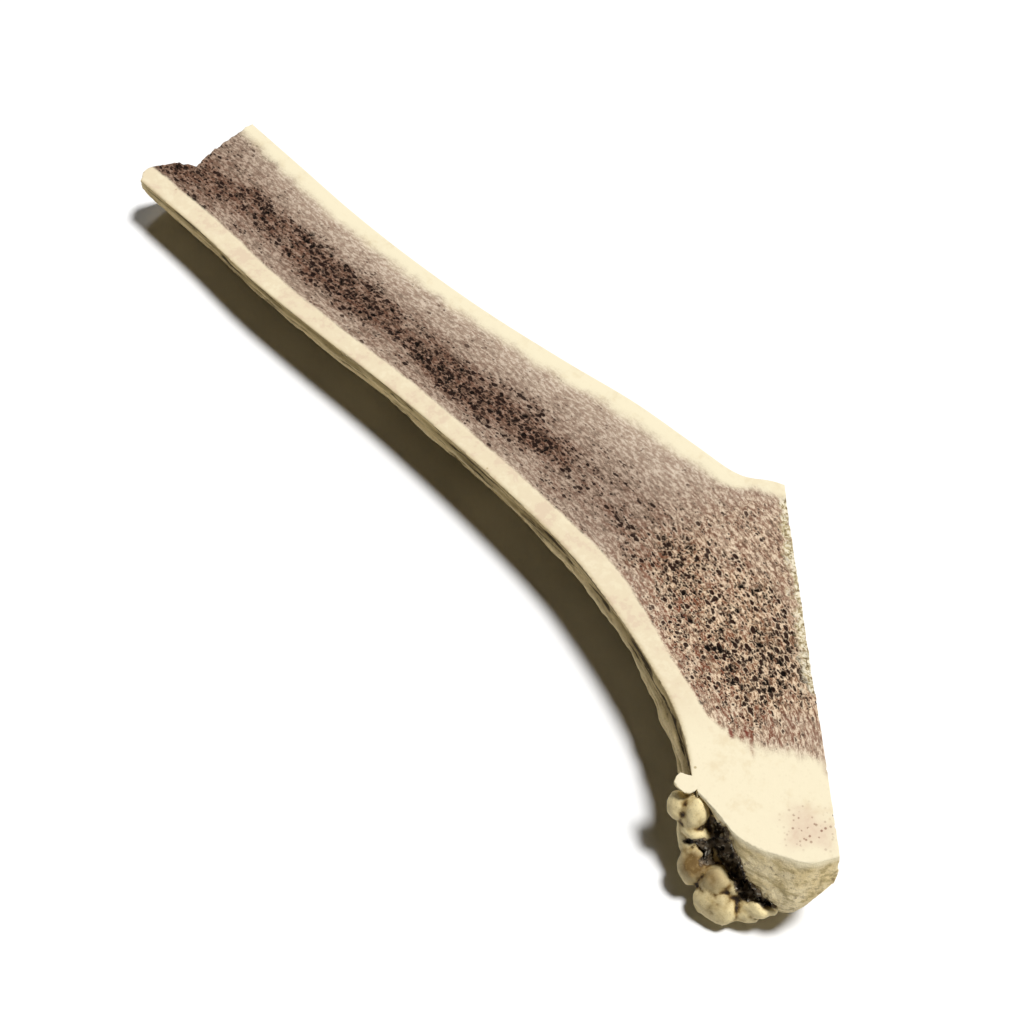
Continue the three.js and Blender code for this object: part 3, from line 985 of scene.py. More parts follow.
@dataclass(frozen=True)
class Spots:
    """Points of the sawn face and where they lie in the arm.

    t is the place along the arm, place the share of its width there, u and v the lengths along the
    grain and across it. fork goes from 0 in the arm to 1 in the fork. left, right and end are how far
    inside the marrow's borders the points are, with wander, a slow noise, in them.
    """

    t: Array
    place: Array
    width: Array
    u: Array
    v: Array
    fork: Array
    wander: Array
    left: Array
    right: Array
    end: Array

    def stretched(self, along: float, across: float) -> Array:
        """Coordinates for a noise whose bumps have a length along the grain and a width across it."""
        return np.stack([self.u / along, self.v / across], axis=1)


def bell(distance: Array, reach: float) -> Array:
    """1 at no distance, falling off like a bell over a reach."""
    return np.exp(-((distance / reach) ** 2))


@dataclass(frozen=True)
class Marrow:
    """The spongy inside of the arm as the saw lays it open, worked out on the sawn face.

    An edge, a start or a band is the pair of lengths between which a mask is eased from 0 to 1, a
    reach is how far a mask spreads, and a size is how long and how wide the bumps of a noise are.
    """

    shaft: Shaft
    left_edge: Pair = (-0.5, 0.7)
    right_edge: Pair = (-2.6, 2.2)
    end_edge: Pair = (-2.2, 2.4)
    section_step: float = 6.0
    arm_starts: Pair = (26.0, 52.0)
    tip_starts: Pair = (68.0, 95.0)
    wander_size: float = 3.0
    streak_size: Pair = (7.0, 0.75)
    core_width_arm: float = 3.6
    core_width_fork: float = 9.5
    core_starts: Pair = (0.0, 9.0)
    patch_size: Pair = (8.0, 4.0)
    pale_places: Pair = (0.5, 0.93)
    pale_beside: float = 6.6
    dense_reach: Triple = (5.0, 2.4, 4.0)
    pit_cell: float = 0.95
    pit_radii: Pair = (0.2, 0.48)
    pit_depth: float = 0.9
    pore_cell: float = 0.75
    pore_radii: Pair = (0.18, 0.36)
    pore_depth: float = 0.4
    grain_bend: float = 0.35
    grain_bend_size: float = 0.9
    bevel_width: float = 1.9
    bevel_drop: float = 0.7
    bevel_span: Pair = (31.0, 73.0)
    chip_size: Pair = (1.6, 1.2)
    chip_height: float = 0.55
    red_line: Pair = (7.0, 6.5)
    vein_cell: float = 1.5
    vein_radii: Pair = (0.36, 0.6)
    vein_length: float = 4.5
    vein_share: float = 0.35
    brim_width: float = 0.4
    skin_size: float = 0.7
    skin_sink: Pair = (0.1, 0.09)
    wall_rise: float = 0.012

    def spots(self, flat: Array) -> Spots:
        """Finds where points of the sawn face lie in the arm.

        Args:
            flat: Points, shape (n, 2).

        Returns:
            Their places and distances.
        """
        t, place, width = self.shaft.locate(flat)
        u, v = self.shaft.run(flat[:, 0], t), place * width
        wander = rough_noise(flat / self.wander_size, 11, 3)
        streak = rough_noise(np.stack([u / self.streak_size[0], v / self.streak_size[1]], axis=1), 15, 2)
        ends_at = np.interp(place, self.shaft.end_places, self.shaft.end_sections)
        return Spots(
            t, place, width, u, v,
            fork=ease(-flat[:, 0], *self.arm_starts),
            wander=wander,
            left=v - self.shaft.value("wall_left", t) + 0.15 * wander,
            right=width - v - self.shaft.value("wall_right", t) + 0.6 * wander,
            end=(t * LAST - ends_at) * self.section_step + 0.6 * streak + 0.7 * wander,
        )

    def core(self, at: Spots) -> Array:
        """The open core: a bell about the core line, wider towards the right wall, times how open the
        sections are, made patchy and faded out before the burr.

        Args:
            at: The points.

        Returns:
            Openness from 0 to 1.
        """
        reach = self.core_width_arm + (self.core_width_fork - self.core_width_arm) * at.fork
        offset = (at.place - self.shaft.value("core", at.t)) * at.width
        offset = np.where(offset > 0, offset / (1 + 0.25 * (1 - at.fork)), offset)
        patchy = 1 + 0.6 * rough_noise(at.stretched(*self.patch_size), 19, 3)
        core = bell(offset, reach) * self.shaft.value("openness", at.t) * patchy
        return np.clip(core * ease(at.end, *self.core_starts), 0, 1)

    def bevel(self, flat: Array) -> Array:
        """The chipped strip beside the fork cut: a ramp away from the cut, roughened by a noise.

        Args:
            flat: Points, shape (n, 2).

        Returns:
            Values from 0 to 1.
        """
        inside = -((flat - SAW_POINT[:2]) @ SAW_OUTWARD[:2])
        along = (flat - SAW_POINT[:2]) @ SAW_ALONG[:2]
        sizes = self.chip_size
        chip = rough_noise(np.stack([along / sizes[0], inside / sizes[1]], axis=1), 29, 3)
        starts, ends = self.bevel_span
        span = ease(along, starts - 1, starts + 1) * (1 - ease(along, ends - 1, ends + 1))
        return span * np.clip(1.15 - inside / self.bevel_width + self.chip_height * chip, 0, 1)

    def read(self, flat: Array) -> dict[str, Array]:
        """Works out the marrow at points of the sawn face.

        The marrow mask is the product of eased distances from the left wall, the right wall and the
        line where it ends before the burr. Its shade is deepest along the core line, fades towards
        the right wall in the arm, and pales in a dense band beside the other walls. Pits are scattered
        in coordinates that run along the grain, more of them near the core line.

        Args:
            flat: Points, shape (n, 2).

        Returns:
            Masks from 0 to 1 by name.
        """
        at = self.spots(flat)
        near_tip = ease(flat[:, 0], *self.tip_starts)
        marrow = ease(at.left, *self.left_edge) * ease(at.right, *self.right_edge)
        marrow = marrow * ease(at.end, *self.end_edge)
        core = self.core(at)
        pale = (1 - at.fork) * ease(at.place + 0.03 * at.wander, *self.pale_places) * (1 - 0.4 * near_tip)
        beside = 0.25 + 0.65 * bell(at.t * LAST - self.pale_beside, 1.1)
        end_reach, left_reach, right_reach = self.dense_reach
        near_end = bell(np.clip(at.end, 0, None), end_reach) * ease(at.place, 0.2, 0.5)
        near_left = bell(np.clip(at.left, 0, None), left_reach) * beside
        near_right = bell(np.clip(at.right, 0, None), right_reach) * at.fork
        dense = np.clip(near_end + near_left + near_right, 0, 1)
        shade = (0.55 + 0.5 * core) * (1 - 0.85 * pale) * (1 - 0.5 * dense) + 0.15 * near_tip
        bent = at.stretched(1.1 + 0.8 * at.fork, 1.0)
        fine = at.stretched(self.grain_bend_size, self.grain_bend_size)
        bent = bent + self.grain_bend * np.stack([smooth_noise(fine, seed) for seed in (21, 22)], axis=1)
        many = marrow * (0.02 + 0.6 * (core * core))
        few = marrow * (0.1 + 0.35 * core + 0.25 * at.fork) * (1 - dense)
        redder = 0.45 + 0.55 * bell(at.left - self.red_line[0], self.red_line[1])
        band = ease(at.end, -4.0, -1.0) * (1 - ease(at.end, 2.0, 5.0)) * ease(at.left, 0.5, 2.5)
        veins = at.stretched(self.vein_length, 1.0)
        return {
            "marrow": marrow,
            "core": core,
            "shade": np.clip(shade + 0.08 * at.wander, 0, 1),
            "dense": dense,
            "fork": at.fork,
            "pit": pit_field(bent, self.pit_cell, self.pit_radii, many, 23),
            "pore": pit_field(bent, self.pore_cell, self.pore_radii, few, 27),
            "bevel": self.bevel(flat),
            "red": (0.3 + 0.7 * at.fork) * redder * (1 - 0.5 * near_right),
            "vein": pit_field(veins, self.vein_cell, self.vein_radii, self.vein_share * band, 33),
            "brim": bell(at.v, self.brim_width) * ease(at.t * LAST, 0.8, 2.0),
            "dull": (1 - marrow) * (1 - ease(at.place, 0.3, 0.5)) * ease(at.t * LAST, 2.3, 4.5),
        }

    def depth(self, flat: Array) -> Array:
        """How far the sawn surface lies below its plane: pits, pores, a slightly lower marrow with a
        rough skin, and the bevel along the fork cut.

        Args:
            flat: Points, shape (n, 2).

        Returns:
            Depths.
        """
        masks = self.read(flat)
        skin = rough_noise(flat / self.skin_size, 91, 2)
        base, swing = self.skin_sink
        sunk = masks["marrow"] * (1 - 0.6 * masks["dense"]) * (base + swing * skin)
        sunk += self.pit_depth * masks["pit"] + self.pore_depth * masks["pore"]
        wall = self.wall_rise * (1 - masks["marrow"]) * (1 + skin)
        return np.maximum(sunk, 0) + wall + self.bevel_drop * masks["bevel"]


@dataclass(frozen=True)
class SawCuts:
    """The two saw cuts: lengthwise through the middle, and slantwise across the fork."""

    marrow: Marrow
    face_box: Box = (-106.0, 105.0, -34.0, 33.5)
    face_step: float = 0.36
    face_clearance: float = 12.0
    fork_span: Pair = (-6.0, 84.0)
    fork_drop: Pair = (-4.0, 24.0)
    fork_step: float = 0.55
    fork_clearance: float = 60.0
    pore_cell: float = 1.5
    pore_radii: Pair = (0.4, 0.8)
    pore_share: float = 0.35
    pore_floor: float = 14.0
    pore_depth: float = 0.6
    grain_height: float = 0.05
    grain_size: float = 0.9

    def lengthwise(self) -> bpy.types.Object:
        """The waste above the sawn face: a block whose underside follows the marrow's relief.

        Returns:
            The closed block.
        """
        x0, x1, y0, y1 = self.face_box
        x, y = np.arange(x0, x1, self.face_step), np.arange(y0, y1, self.face_step)
        flat = np.stack(np.meshgrid(x, y, indexing="ij"), axis=-1).reshape(-1, 2)
        under = np.concatenate([flat, -self.marrow.depth(flat)[:, None]], axis=1).reshape(len(x), len(y), 3)
        return block_behind(under, -self.face_clearance * DOWN, Zone.FACE).to_object("lengthwise_waste")

    def across_fork(self) -> bpy.types.Object:
        """The waste beyond the fork: a block whose near side follows the pores of that cut.

        Returns:
            The closed block.
        """
        along, down = np.arange(*self.fork_span, self.fork_step), np.arange(*self.fork_drop, self.fork_step)
        spots = np.stack(np.meshgrid(along, down, indexing="ij"), axis=-1).reshape(-1, 2)
        inner = self.pore_share * ease(spots[:, 1], -1, 1)
        pits = pit_field(spots, self.pore_cell, self.pore_radii, inner, 95)
        pits = pits * ease(self.pore_floor - spots[:, 1], 0, 4)
        depth = self.pore_depth * pits + self.grain_height * rough_noise(spots / self.grain_size, 97, 2)
        points = SAW_POINT + spots[:, :1] * SAW_ALONG - depth[:, None] * SAW_OUTWARD + spots[:, 1:] * DOWN
        near = points.reshape(len(along), len(down), 3)
        return block_behind(near, self.fork_clearance * SAW_OUTWARD, Zone.FORK).to_object("fork_waste")


# ---- Shader wiring --------------------------------------------------------------------------------


class Value:
    """A number socket of a node tree that can be used in ordinary arithmetic."""

    def __init__(self, sheet: "Sheet", socket: Socket) -> None:
        """Wraps a socket of the sheet's tree."""
        self.sheet = sheet
        self.socket = socket

    def __add__(self, other: Number) -> "Value":
        """self + other."""
        return self.sheet.math("ADD", self, other)

    __radd__ = __add__

    def __sub__(self, other: Number) -> "Value":
        """self - other."""
        return self.sheet.math("SUBTRACT", self, other)

    def __rsub__(self, other: Number) -> "Value":
        """other - self."""
        return self.sheet.math("SUBTRACT", other, self)

    def __mul__(self, other: Number) -> "Value":
        """self * other."""
        return self.sheet.math("MULTIPLY", self, other)

    __rmul__ = __mul__

    def clamp(self) -> "Value":
        """Held between 0 and 1."""
        return self.sheet.math("ADD", self, 0.0, True)

    def between(self, low: float, high: float) -> "Value":
        """Eased from 0 at low to 1 at high, or from 1 to 0 where low is the larger.

        Args:
            low: Where it is 0.
            high: Where it is 1.

        Returns:
            The eased value.
        """
        made = self.sheet.node("ShaderNodeMapRange", {"interpolation_type": "SMOOTHSTEP"},
                               {"Value": self, "From Min": low, "From Max": high})
        return Value(self.sheet, made.outputs["Result"])


class Sheet:
    """A material's node tree and the few ways its nodes are made."""

    def __init__(self, name: str) -> None:
        """Starts a material with nothing but its output and shader.

        Args:
            name: The material's name.
        """
        self.material = bpy.data.materials.new(name)
        self.material.use_nodes = True
        self.tree = self.material.node_tree
        self.tree.nodes.clear()
        self.output = self.node("ShaderNodeOutputMaterial")
        self.shader = self.node("ShaderNodeBsdfPrincipled")
        self.tree.links.new(self.shader.outputs["BSDF"], self.output.inputs["Surface"])

    def node(self, kind: str, settings: dict[str, Any] | None = None,
             inputs: dict[Any, Any] | None = None) -> bpy.types.Node:
        """Adds a node.

        Args:
            kind: The node's type.
            settings: Its properties, set first.
            inputs: Values or links for its sockets, by name or number.

        Returns:
            The node.
        """
        made = self.tree.nodes.new(kind)
        for name, setting in (settings or {}).items():
            setattr(made, name, setting)
        for name, given in (inputs or {}).items():
            self.feed(made.inputs[name], given)
        return made

    def feed(self, socket: Socket, given: Any) -> None:
        """Links or sets one input socket.

        Args:
            socket: The socket.
            given: A value or socket to link, or what to set.
        """
        if isinstance(given, Value):
            given = given.socket
        if isinstance(given, Socket):
            self.tree.links.new(given, socket)
        elif isinstance(given, tuple) and socket.type == "RGBA":
            socket.default_value = (*given, 1.0)
        else:
            socket.default_value = given

    def math(self, operation: str, first: Number, second: Number, clamp: bool = False) -> Value:
        """A Math node's result."""
        settings = {"operation": operation, "use_clamp": clamp}
        return Value(self, self.node("ShaderNodeMath", settings, {0: first, 1: second}).outputs[0])

    def vectors(self, operation: str, first: Socket, second: Union[Socket, Triple]) -> Socket:
        """A Vector Math node's result."""
        return self.node("ShaderNodeVectorMath", {"operation": operation}, {0: first, 1: second}).outputs[0]

    def attribute(self, name: str) -> Value:
        """A number stored on the mesh."""
        return Value(self, self.node("ShaderNodeAttribute", {"attribute_name": name}).outputs["Fac"])

    def stored_vector(self, name: str) -> Socket:
        """A vector stored on the mesh."""
        return self.node("ShaderNodeAttribute", {"attribute_name": name}).outputs["Vector"]

    def place(self) -> Socket:
        """Object coordinates in millimetres."""
        return self.scaled(self.node("ShaderNodeTexCoord").outputs["Object"], (1 / TO_METRES,) * 3)

    def scaled(self, vector: Socket, scale: Triple) -> Socket:
        """A vector multiplied part by part."""
        return self.vectors("MULTIPLY", vector, scale)

    def noise(self, vector: Socket, size: float, detail: float = 3.0, roughness: float = 0.55) -> Value:
        """Noise from 0 to 1 with bumps about one size wide."""
        inputs = {"Vector": vector, "Scale": 1 / size, "Detail": detail, "Roughness": roughness}
        return Value(self, self.node("ShaderNodeTexNoise", {}, inputs).outputs[0])

    def voronoi(self, vector: Socket, size: float) -> bpy.types.Node:
        """Cells about one size wide, each with its distance and a colour of its own."""
        return self.node("ShaderNodeTexVoronoi", {"feature": "F1"}, {"Vector": vector, "Scale": 1 / size})

    def cells(self, vector: Socket, size: float) -> Value:
        """Distance from the middle of the nearest cell, in cell sizes."""
        return Value(self, self.voronoi(vector, size).outputs["Distance"])

    def warped(self, vector: Socket, size: float, amount: float) -> Socket:
        """A vector pushed about by a colour noise, which bends the pattern that reads it.

        Args:
            vector: The vector.
            size: Width of the bumps.
            amount: How far it is pushed.

        Returns:
            The bent vector.
        """
        push = self.node("ShaderNodeTexNoise", {}, {"Vector": vector, "Scale": 1 / size, "Detail": 2.0})
        centred = self.vectors("SUBTRACT", push.outputs["Color"], (0.5, 0.5, 0.5))
        return self.vectors("ADD", vector, self.scaled(centred, (amount, amount, amount)))

    def mix(self, factor: Number, first: Colour, second: Colour) -> Socket:
        """Two colours mixed by a factor.

        Args:
            factor: Share of the second colour.
            first: The first colour.
            second: The second colour.

        Returns:
            The mixed colour.
        """
        made = self.node("ShaderNodeMix", {"data_type": "RGBA", "clamp_factor": True})
        for place, given in ((0, factor), (6, first), (7, second)):
            self.feed(made.inputs[place], given)
        return made.outputs[2]

    def layers(self, tone: Colour, *coats: tuple[Number, Colour]) -> Colour:
        """A colour with coats laid over it in order, each where its mask is 1.

        Args:
            tone: The colour underneath.
            coats: Masks and the colours they lay on.

        Returns:
            The finished colour.
        """
        for mask, coat in coats:
            tone = self.mix(mask, tone, coat)
        return tone

    def bump(self, height: Value, distance: float, strength: float) -> Socket:
        """Normal from a height from 0 to 1 that stands for a distance in metres."""
        inputs = {"Height": height, "Distance": distance, "Strength": strength}
        return self.node("ShaderNodeBump", {}, inputs).outputs["Normal"]

    def finish(self, colour: Colour, roughness: Number, normal: Socket,
               specular: float) -> bpy.types.Material:
        """Feeds the shader and gives the material.

        Args:
            colour: Base colour.
            roughness: Roughness, a number or a varying value.
            normal: Surface normal.
            specular: Strength of the reflection, the same all over.

        Returns:
            The material.
        """
        self.feed(self.shader.inputs["Base Color"], colour)
        self.feed(self.shader.inputs["Roughness"], roughness)
        self.feed(self.shader.inputs["Normal"], normal)
        self.shader.inputs["Specular IOR Level"].default_value = specular
        return self.material


def linear(red: int, green: int, blue: int) -> Triple:
    """Linear light for a colour given as it looks on a screen, 0 to 255."""
    shares = (red / 255, green / 255, blue / 255)
    return tuple(c / 12.92 if c <= 0.04045 else ((c + 0.055) / 1.055) ** 2.4 for c in shares)


# ---- Finishes -------------------------------------------------------------------------------------


@dataclass(frozen=True)
class Crust:
    """The crevice's crust: brown at its edge, nearly black inside, with grey crumbs."""

    edge: Triple = linear(84, 64, 42)
    deep: Triple = linear(44, 36, 27)
    body: Triple = linear(136, 120, 98)
    crumb: Triple = linear(228, 221, 204)

    def over(self, s: Sheet, tone: Colour) -> Colour:
        """Covers a tone with the crust.

        Args:
            s: The sheet that is being wired.
            tone: The bare colour.

        Returns:
            The colour with the crust on it.
        """
        where, crust = s.place(), s.attribute("crust")
        fine = s.noise(where, 0.45, 4.0, 0.7)
        crumb = (s.cells(s.warped(where, 1.0, 0.8), 0.9) + (fine - 0.5) * 0.8).between(0.42, 0.2)
        body = s.layers(
            self.deep,
            (s.noise(where, 1.3, 3.0).between(0.4, 0.58), self.body),
            (crumb * s.noise(where, 2.4, 2.0).between(0.44, 0.52), self.crumb),
        )
        return s.layers(tone, (crust.between(0.02, 0.3) * 0.8, self.edge), (crust.between(0.25, 0.6), body))


@dataclass(frozen=True)
class SawnBone:
    """Sawn bone: cream compact wall, and taupe spongy marrow full of dark pores, laid dark and near
    black in the pits as painted shade inside them, over the marrow's own dark tone.

    The marrow's tones go from pale, where it is dense, to those of the arm and of the fork.
    """

    wall: Triple = linear(228, 217, 187)
    wall_mottle: Triple = linear(216, 200, 166)
    wall_dull: Triple = linear(218, 203, 173)
    wall_pink: Triple = linear(204, 178, 156)
    brim: Triple = linear(160, 140, 96)
    rib_pale: Triple = linear(210, 194, 174)
    rib_arm: Triple = linear(150, 123, 105)
    rib_fork: Triple = linear(224, 199, 168)
    middle_pale: Triple = linear(182, 162, 142)
    middle_arm: Triple = linear(102, 78, 62)
    middle_fork: Triple = linear(152, 119, 91)
    hollow_pale: Triple = linear(140, 114, 96)
    hollow_arm: Triple = linear(28, 12, 6)
    hollow_fork: Triple = linear(32, 9, 4)
    red: Triple = linear(112, 60, 40)
    vein: Triple = linear(112, 48, 36)
    # Near black of the pits: painted shade deep in them, over the marrow's own dark tone.
    pit: Triple = linear(14, 7, 3)
    flake: Triple = linear(224, 214, 190)
    flake_yellow: Triple = linear(172, 156, 118)
    flake_dark: Triple = linear(104, 88, 64)

    def make(self) -> bpy.types.Material:
        """Wires the finish: masks stored on the mesh choose between wall and marrow, cell patterns
        along the grain give ribs and hollows, and broad noises vary the tone.

        Returns:
            The material.
        """
        s = Sheet("sawn_bone")
        where = s.place()
        fine = s.noise(where, 0.3, 4.0, 0.65)
        broad = s.noise(where, 5.0, 3.0)
        sponge, rib = self.sponge(s, fine)
        wall = self.walls(s, where, broad)
        edge = (s.attribute("marrow") + (fine - 0.5) * 0.6).between(0.05, 0.95)
        grit = s.noise(s.warped(where, 0.9, 0.6), 0.7, 4.0, 0.7)
        flakes = s.layers(
            self.flake_dark,
            (grit.between(0.36, 0.48), self.flake_yellow),
            ((grit + (broad - 0.5) * 0.3).between(0.46, 0.56), self.flake),
        )
        colour = s.layers(
            wall,
            (edge, sponge),
            ((s.attribute("vein") * 1.6).clamp() * 0.85, self.vein),
            ((s.attribute("bevel") * 1.4).clamp(), flakes),
        )
        relief = edge * (rib * 0.75 + fine * 0.25) + (1 - edge) * (fine * 0.06 + 0.92)
        return s.finish(colour, 0.6 + edge * 0.2, s.bump(relief, 0.0005, 0.8), 0.1)

    def sponge(self, s: Sheet, fine: Value) -> tuple[Socket, Value]:
        """The marrow's colour and the height of its ribs.

        Args:
            s: The sheet that is being wired.
            fine: The finest noise.

        Returns:
            The colour, and 0 in the hollows to 1 on the ribs.
        """
        grain = s.stored_vector("grain")
        shade, fork, pit = s.attribute("shade"), s.attribute("fork"), s.attribute("pit")
        core = s.attribute("core")
        bent = s.warped(s.scaled(grain, (0.55, 1.0, 1.0)), 0.5, 0.4)
        ragged = s.noise(s.scaled(grain, (0.4, 1.0, 1.0)), 0.5, 3.0, 0.75)
        patch = s.noise(s.scaled(grain, (0.35, 0.8, 1.0)), 2.2, 3.0)
        depth = (shade * 1.15 - 0.05 + (patch - 0.5) * 0.5).clamp()
        opened = depth * 0.42 + core * 0.3 + (patch - 0.5) * 1.1
        hole, hole_wall = self.holes(s, bent, 0.9, opened - 0.1)
        pore, pore_wall = self.holes(s, bent, 0.5, opened)
        middle = s.mix(depth, self.middle_pale, s.mix(fork, self.middle_arm, self.middle_fork))
        bright = s.mix(depth, self.rib_pale, s.mix(fork, self.rib_arm, self.rib_fork))
        dark = s.mix((depth * 1.4).clamp(), self.hollow_pale, s.mix(fork, self.hollow_arm, self.hollow_fork))
        tinge = s.noise(s.scaled(grain, (0.17, 1.0, 1.0)), 0.9, 4.0, 0.65)
        red = (s.attribute("red") * tinge.between(0.46, 0.56)).clamp()
        tone = s.layers(
            middle,
            (ragged.between(0.48, 0.38) * (0.5 + fork * 0.25), dark),
            (red * 0.85, self.red),
            (ragged.between(0.5, 0.59) * (1 - red * 0.5), bright),
            ((hole_wall + pore_wall * 0.6).clamp() * (0.2 + fork * 0.6), bright),
            # Pores, holes and pits laid dark, near black in the pits: painted shade inside them, over the
            # marrow's own dark tone.
            (pore * 0.85, dark),
            (hole * 0.95, dark),
            ((s.attribute("pore") * 1.3).clamp() * 0.6, dark),
            ((pit * 2.0 + (fine - 0.5) * pit).clamp(), self.pit),
        )
        return tone, ((1 - hole) * (1 - pore * 0.6)).clamp() * 0.7 + ragged * 0.3

    @staticmethod
    def holes(s: Sheet, where: Socket, size: float, opened: Value) -> tuple[Value, Value]:
        """Holes with thin bright walls, one to a cell, each cell with its own size of hole.

        Args:
            s: The sheet that is being wired.
            where: Coordinates the cells are scattered in.
            size: Width of a cell.
            opened: How open the marrow is: the share of cells with a hole.

        Returns:
            1 inside the holes and 0 outside, and 1 on the walls round them.
        """
        cell = s.voronoi(where, size)
        lot = Value(s, cell.outputs["Color"]) + 0.0
        reach = s.math("MINIMUM", ((opened - lot) * 1.6 + 0.3).clamp(), 0.48)
        gap = reach - Value(s, cell.outputs["Distance"])
        hole = (gap * 9.0).clamp()
        return hole, ((gap + 0.16) * 9.0).clamp() * (1 - hole) * (reach * 6.0).clamp()

    def walls(self, s: Sheet, where: Socket, broad: Value) -> Socket:
        """The compact wall's colour: cream, duller beside the left edge, blushed near the burr.

        Args:
            s: The sheet that is being wired.
            where: Object coordinates in millimetres.
            broad: A broad noise.

        Returns:
            The colour.
        """
        grain = s.stored_vector("grain")
        mottle = s.noise(where, 1.1, 4.0, 0.6)
        lines = s.noise(s.scaled(grain, (0.15, 1.0, 1.0)), 0.5, 3.0)
        uneven = (broad - 0.5 + (mottle - 0.5) * 0.5).between(0.0, 0.3)
        dull, blush = s.attribute("dull"), s.attribute("blush")
        dots = s.cells(where, 0.95).between(0.34, 0.16)
        return s.layers(
            self.wall,
            (uneven * 0.7, self.wall_mottle),
            (dull, self.wall_dull),
            (dull * (mottle + (broad - 0.5)).between(0.48, 0.66) * 0.45, self.wall_pink),
            (dull * (mottle - (broad - 0.5)).between(0.5, 0.7) * 0.5, self.wall),
            (lines.between(0.58, 0.8) * 0.25, self.wall_mottle),
            ((blush * (mottle + 0.3)).clamp() * 0.75, self.wall_pink),
            ((blush * dots * mottle.between(0.36, 0.5)).clamp() * 0.75, self.red),
            (s.cells(where, 7.0).between(0.05, 0.03) * 0.7, self.brim),
            ((s.attribute("brim") * (mottle + 0.3)).clamp() * 0.6, self.brim),
        )


@dataclass(frozen=True)
class GrownBone:
    """The outer side as it grew: olive cream with dark lines in its grooves, painted shade in the
    grooves and a painted highlight on the ridges.
    """

    skin: Triple = linear(214, 190, 138)
    # Laid on the ridges by the cavity mask as a painted highlight, broken up by blotches.
    skin_pale: Triple = linear(236, 216, 168)
    skin_olive: Triple = linear(166, 144, 96)
    # Laid in the grooves by the cavity mask as painted shade, broken up by blotches, and in random specks.
    stain_and_shade: Triple = linear(90, 68, 36)
    line: Triple = linear(44, 31, 16)

    def make(self) -> bpy.types.Material:
        """Wires the finish: painted shade darkens the grooves, a painted highlight pales the ridges, and
        streaks run with the grain.

        Returns:
            The material.
        """
        s = Sheet("grown_bone")
        grain, where = s.stored_vector("grain"), s.place()
        cavity_shade = s.attribute("cavity_shade")
        along = s.noise(s.scaled(grain, (0.07, 1.0, 1.0)), 0.8, 4.0, 0.6)
        wide = s.noise(s.scaled(grain, (0.1, 1.0, 1.0)), 2.6, 3.0)
        blotch = s.noise(where, 4.5, 4.0, 0.6)
        fine = s.noise(where, 0.4, 4.0, 0.65)
        tone = s.layers(
            self.skin,
            (wide.between(0.4, 0.6), self.skin_olive),
            # Painted highlight on the ridges and painted shade in the grooves, by the cavity mask, broken by
            # blotches.
            (((0.45 - cavity_shade) * 1.8 + (blotch - 0.5)).clamp() * 0.8, self.skin_pale),
            ((cavity_shade * 1.5 - 0.85 + (blotch - 0.5) * 1.2).clamp() * 0.8, self.stain_and_shade),
            ((along + cavity_shade * 0.25).between(0.64, 0.72) * 0.85, self.line),
            (fine.between(0.48, 0.7) * 0.35, self.stain_and_shade),
        )
        relief = along * 0.5 + fine * 0.5
        return s.finish(Crust().over(s, tone), 0.7 + blotch * 0.2, s.bump(relief, 0.0004, 0.7), 0.12)


@dataclass(frozen=True)
class PearlBone:
    """The burr's pearls: smooth cream crowns, brown in the valleys between them, where painted shade
    darkens the sides and valleys by the cavity mask, nearly black in the deepest.
    """

    crown: Triple = linear(239, 220, 168)
    # Laid on the sides and in the valleys by the cavity mask as painted shade, and in random patches.
    side: Triple = linear(182, 156, 100)
    # Laid deeper in the valleys by the cavity mask as painted shade, with the darker patches, and in random
    # specks.
    stain_and_shade: Triple = linear(104, 78, 38)
    # Nearly black in the deepest valleys: painted shade.
    deep: Triple = linear(40, 28, 16)
    patch_brown: Triple = linear(118, 92, 50)

    def make(self) -> bpy.types.Material:
        """Wires the finish: painted shade makes the sides and valleys go brown and then nearly black by the
        cavity mask, crowns stay pale.

        Returns:
            The material.
        """
        s = Sheet("pearl_bone")
        where = s.place()
        cavity_shade, brown_patch_and_shade = s.attribute("cavity_shade"), s.attribute("brown_patch_and_shade")
        blotch = s.noise(where, 2.6, 4.0, 0.6)
        fine = s.noise(where, 0.35, 4.0, 0.65)
        uneven = (blotch - 0.5) * 2.2
        tone = s.layers(
            self.crown,
            # Painted shade by the cavity mask: the sides and valleys go brown, the deepest nearly black.
            ((cavity_shade * 1.7 - 0.3 + uneven).clamp(), self.side),
            # Darker brown patches at listed points on the burr.
            ((brown_patch_and_shade * (blotch + 0.6)).clamp(), self.patch_brown),
            ((cavity_shade * 2.6 - 1.35 + uneven + brown_patch_and_shade * 0.4).clamp(), self.stain_and_shade),
            ((cavity_shade * 3.6 - 2.5 + (fine - 0.5)).clamp(), self.deep),
            (s.noise(where, 1.1, 4.0, 0.7).between(0.52, 0.68) * 0.4, self.side),
            (fine.between(0.55, 0.72) * 0.35, self.stain_and_shade),
        )
        relief = fine * 0.6 + blotch * 0.4
        return s.finish(Crust().over(s, tone), 0.55 + blotch * 0.2, s.bump(relief, 0.0003, 0.6), 0.25)


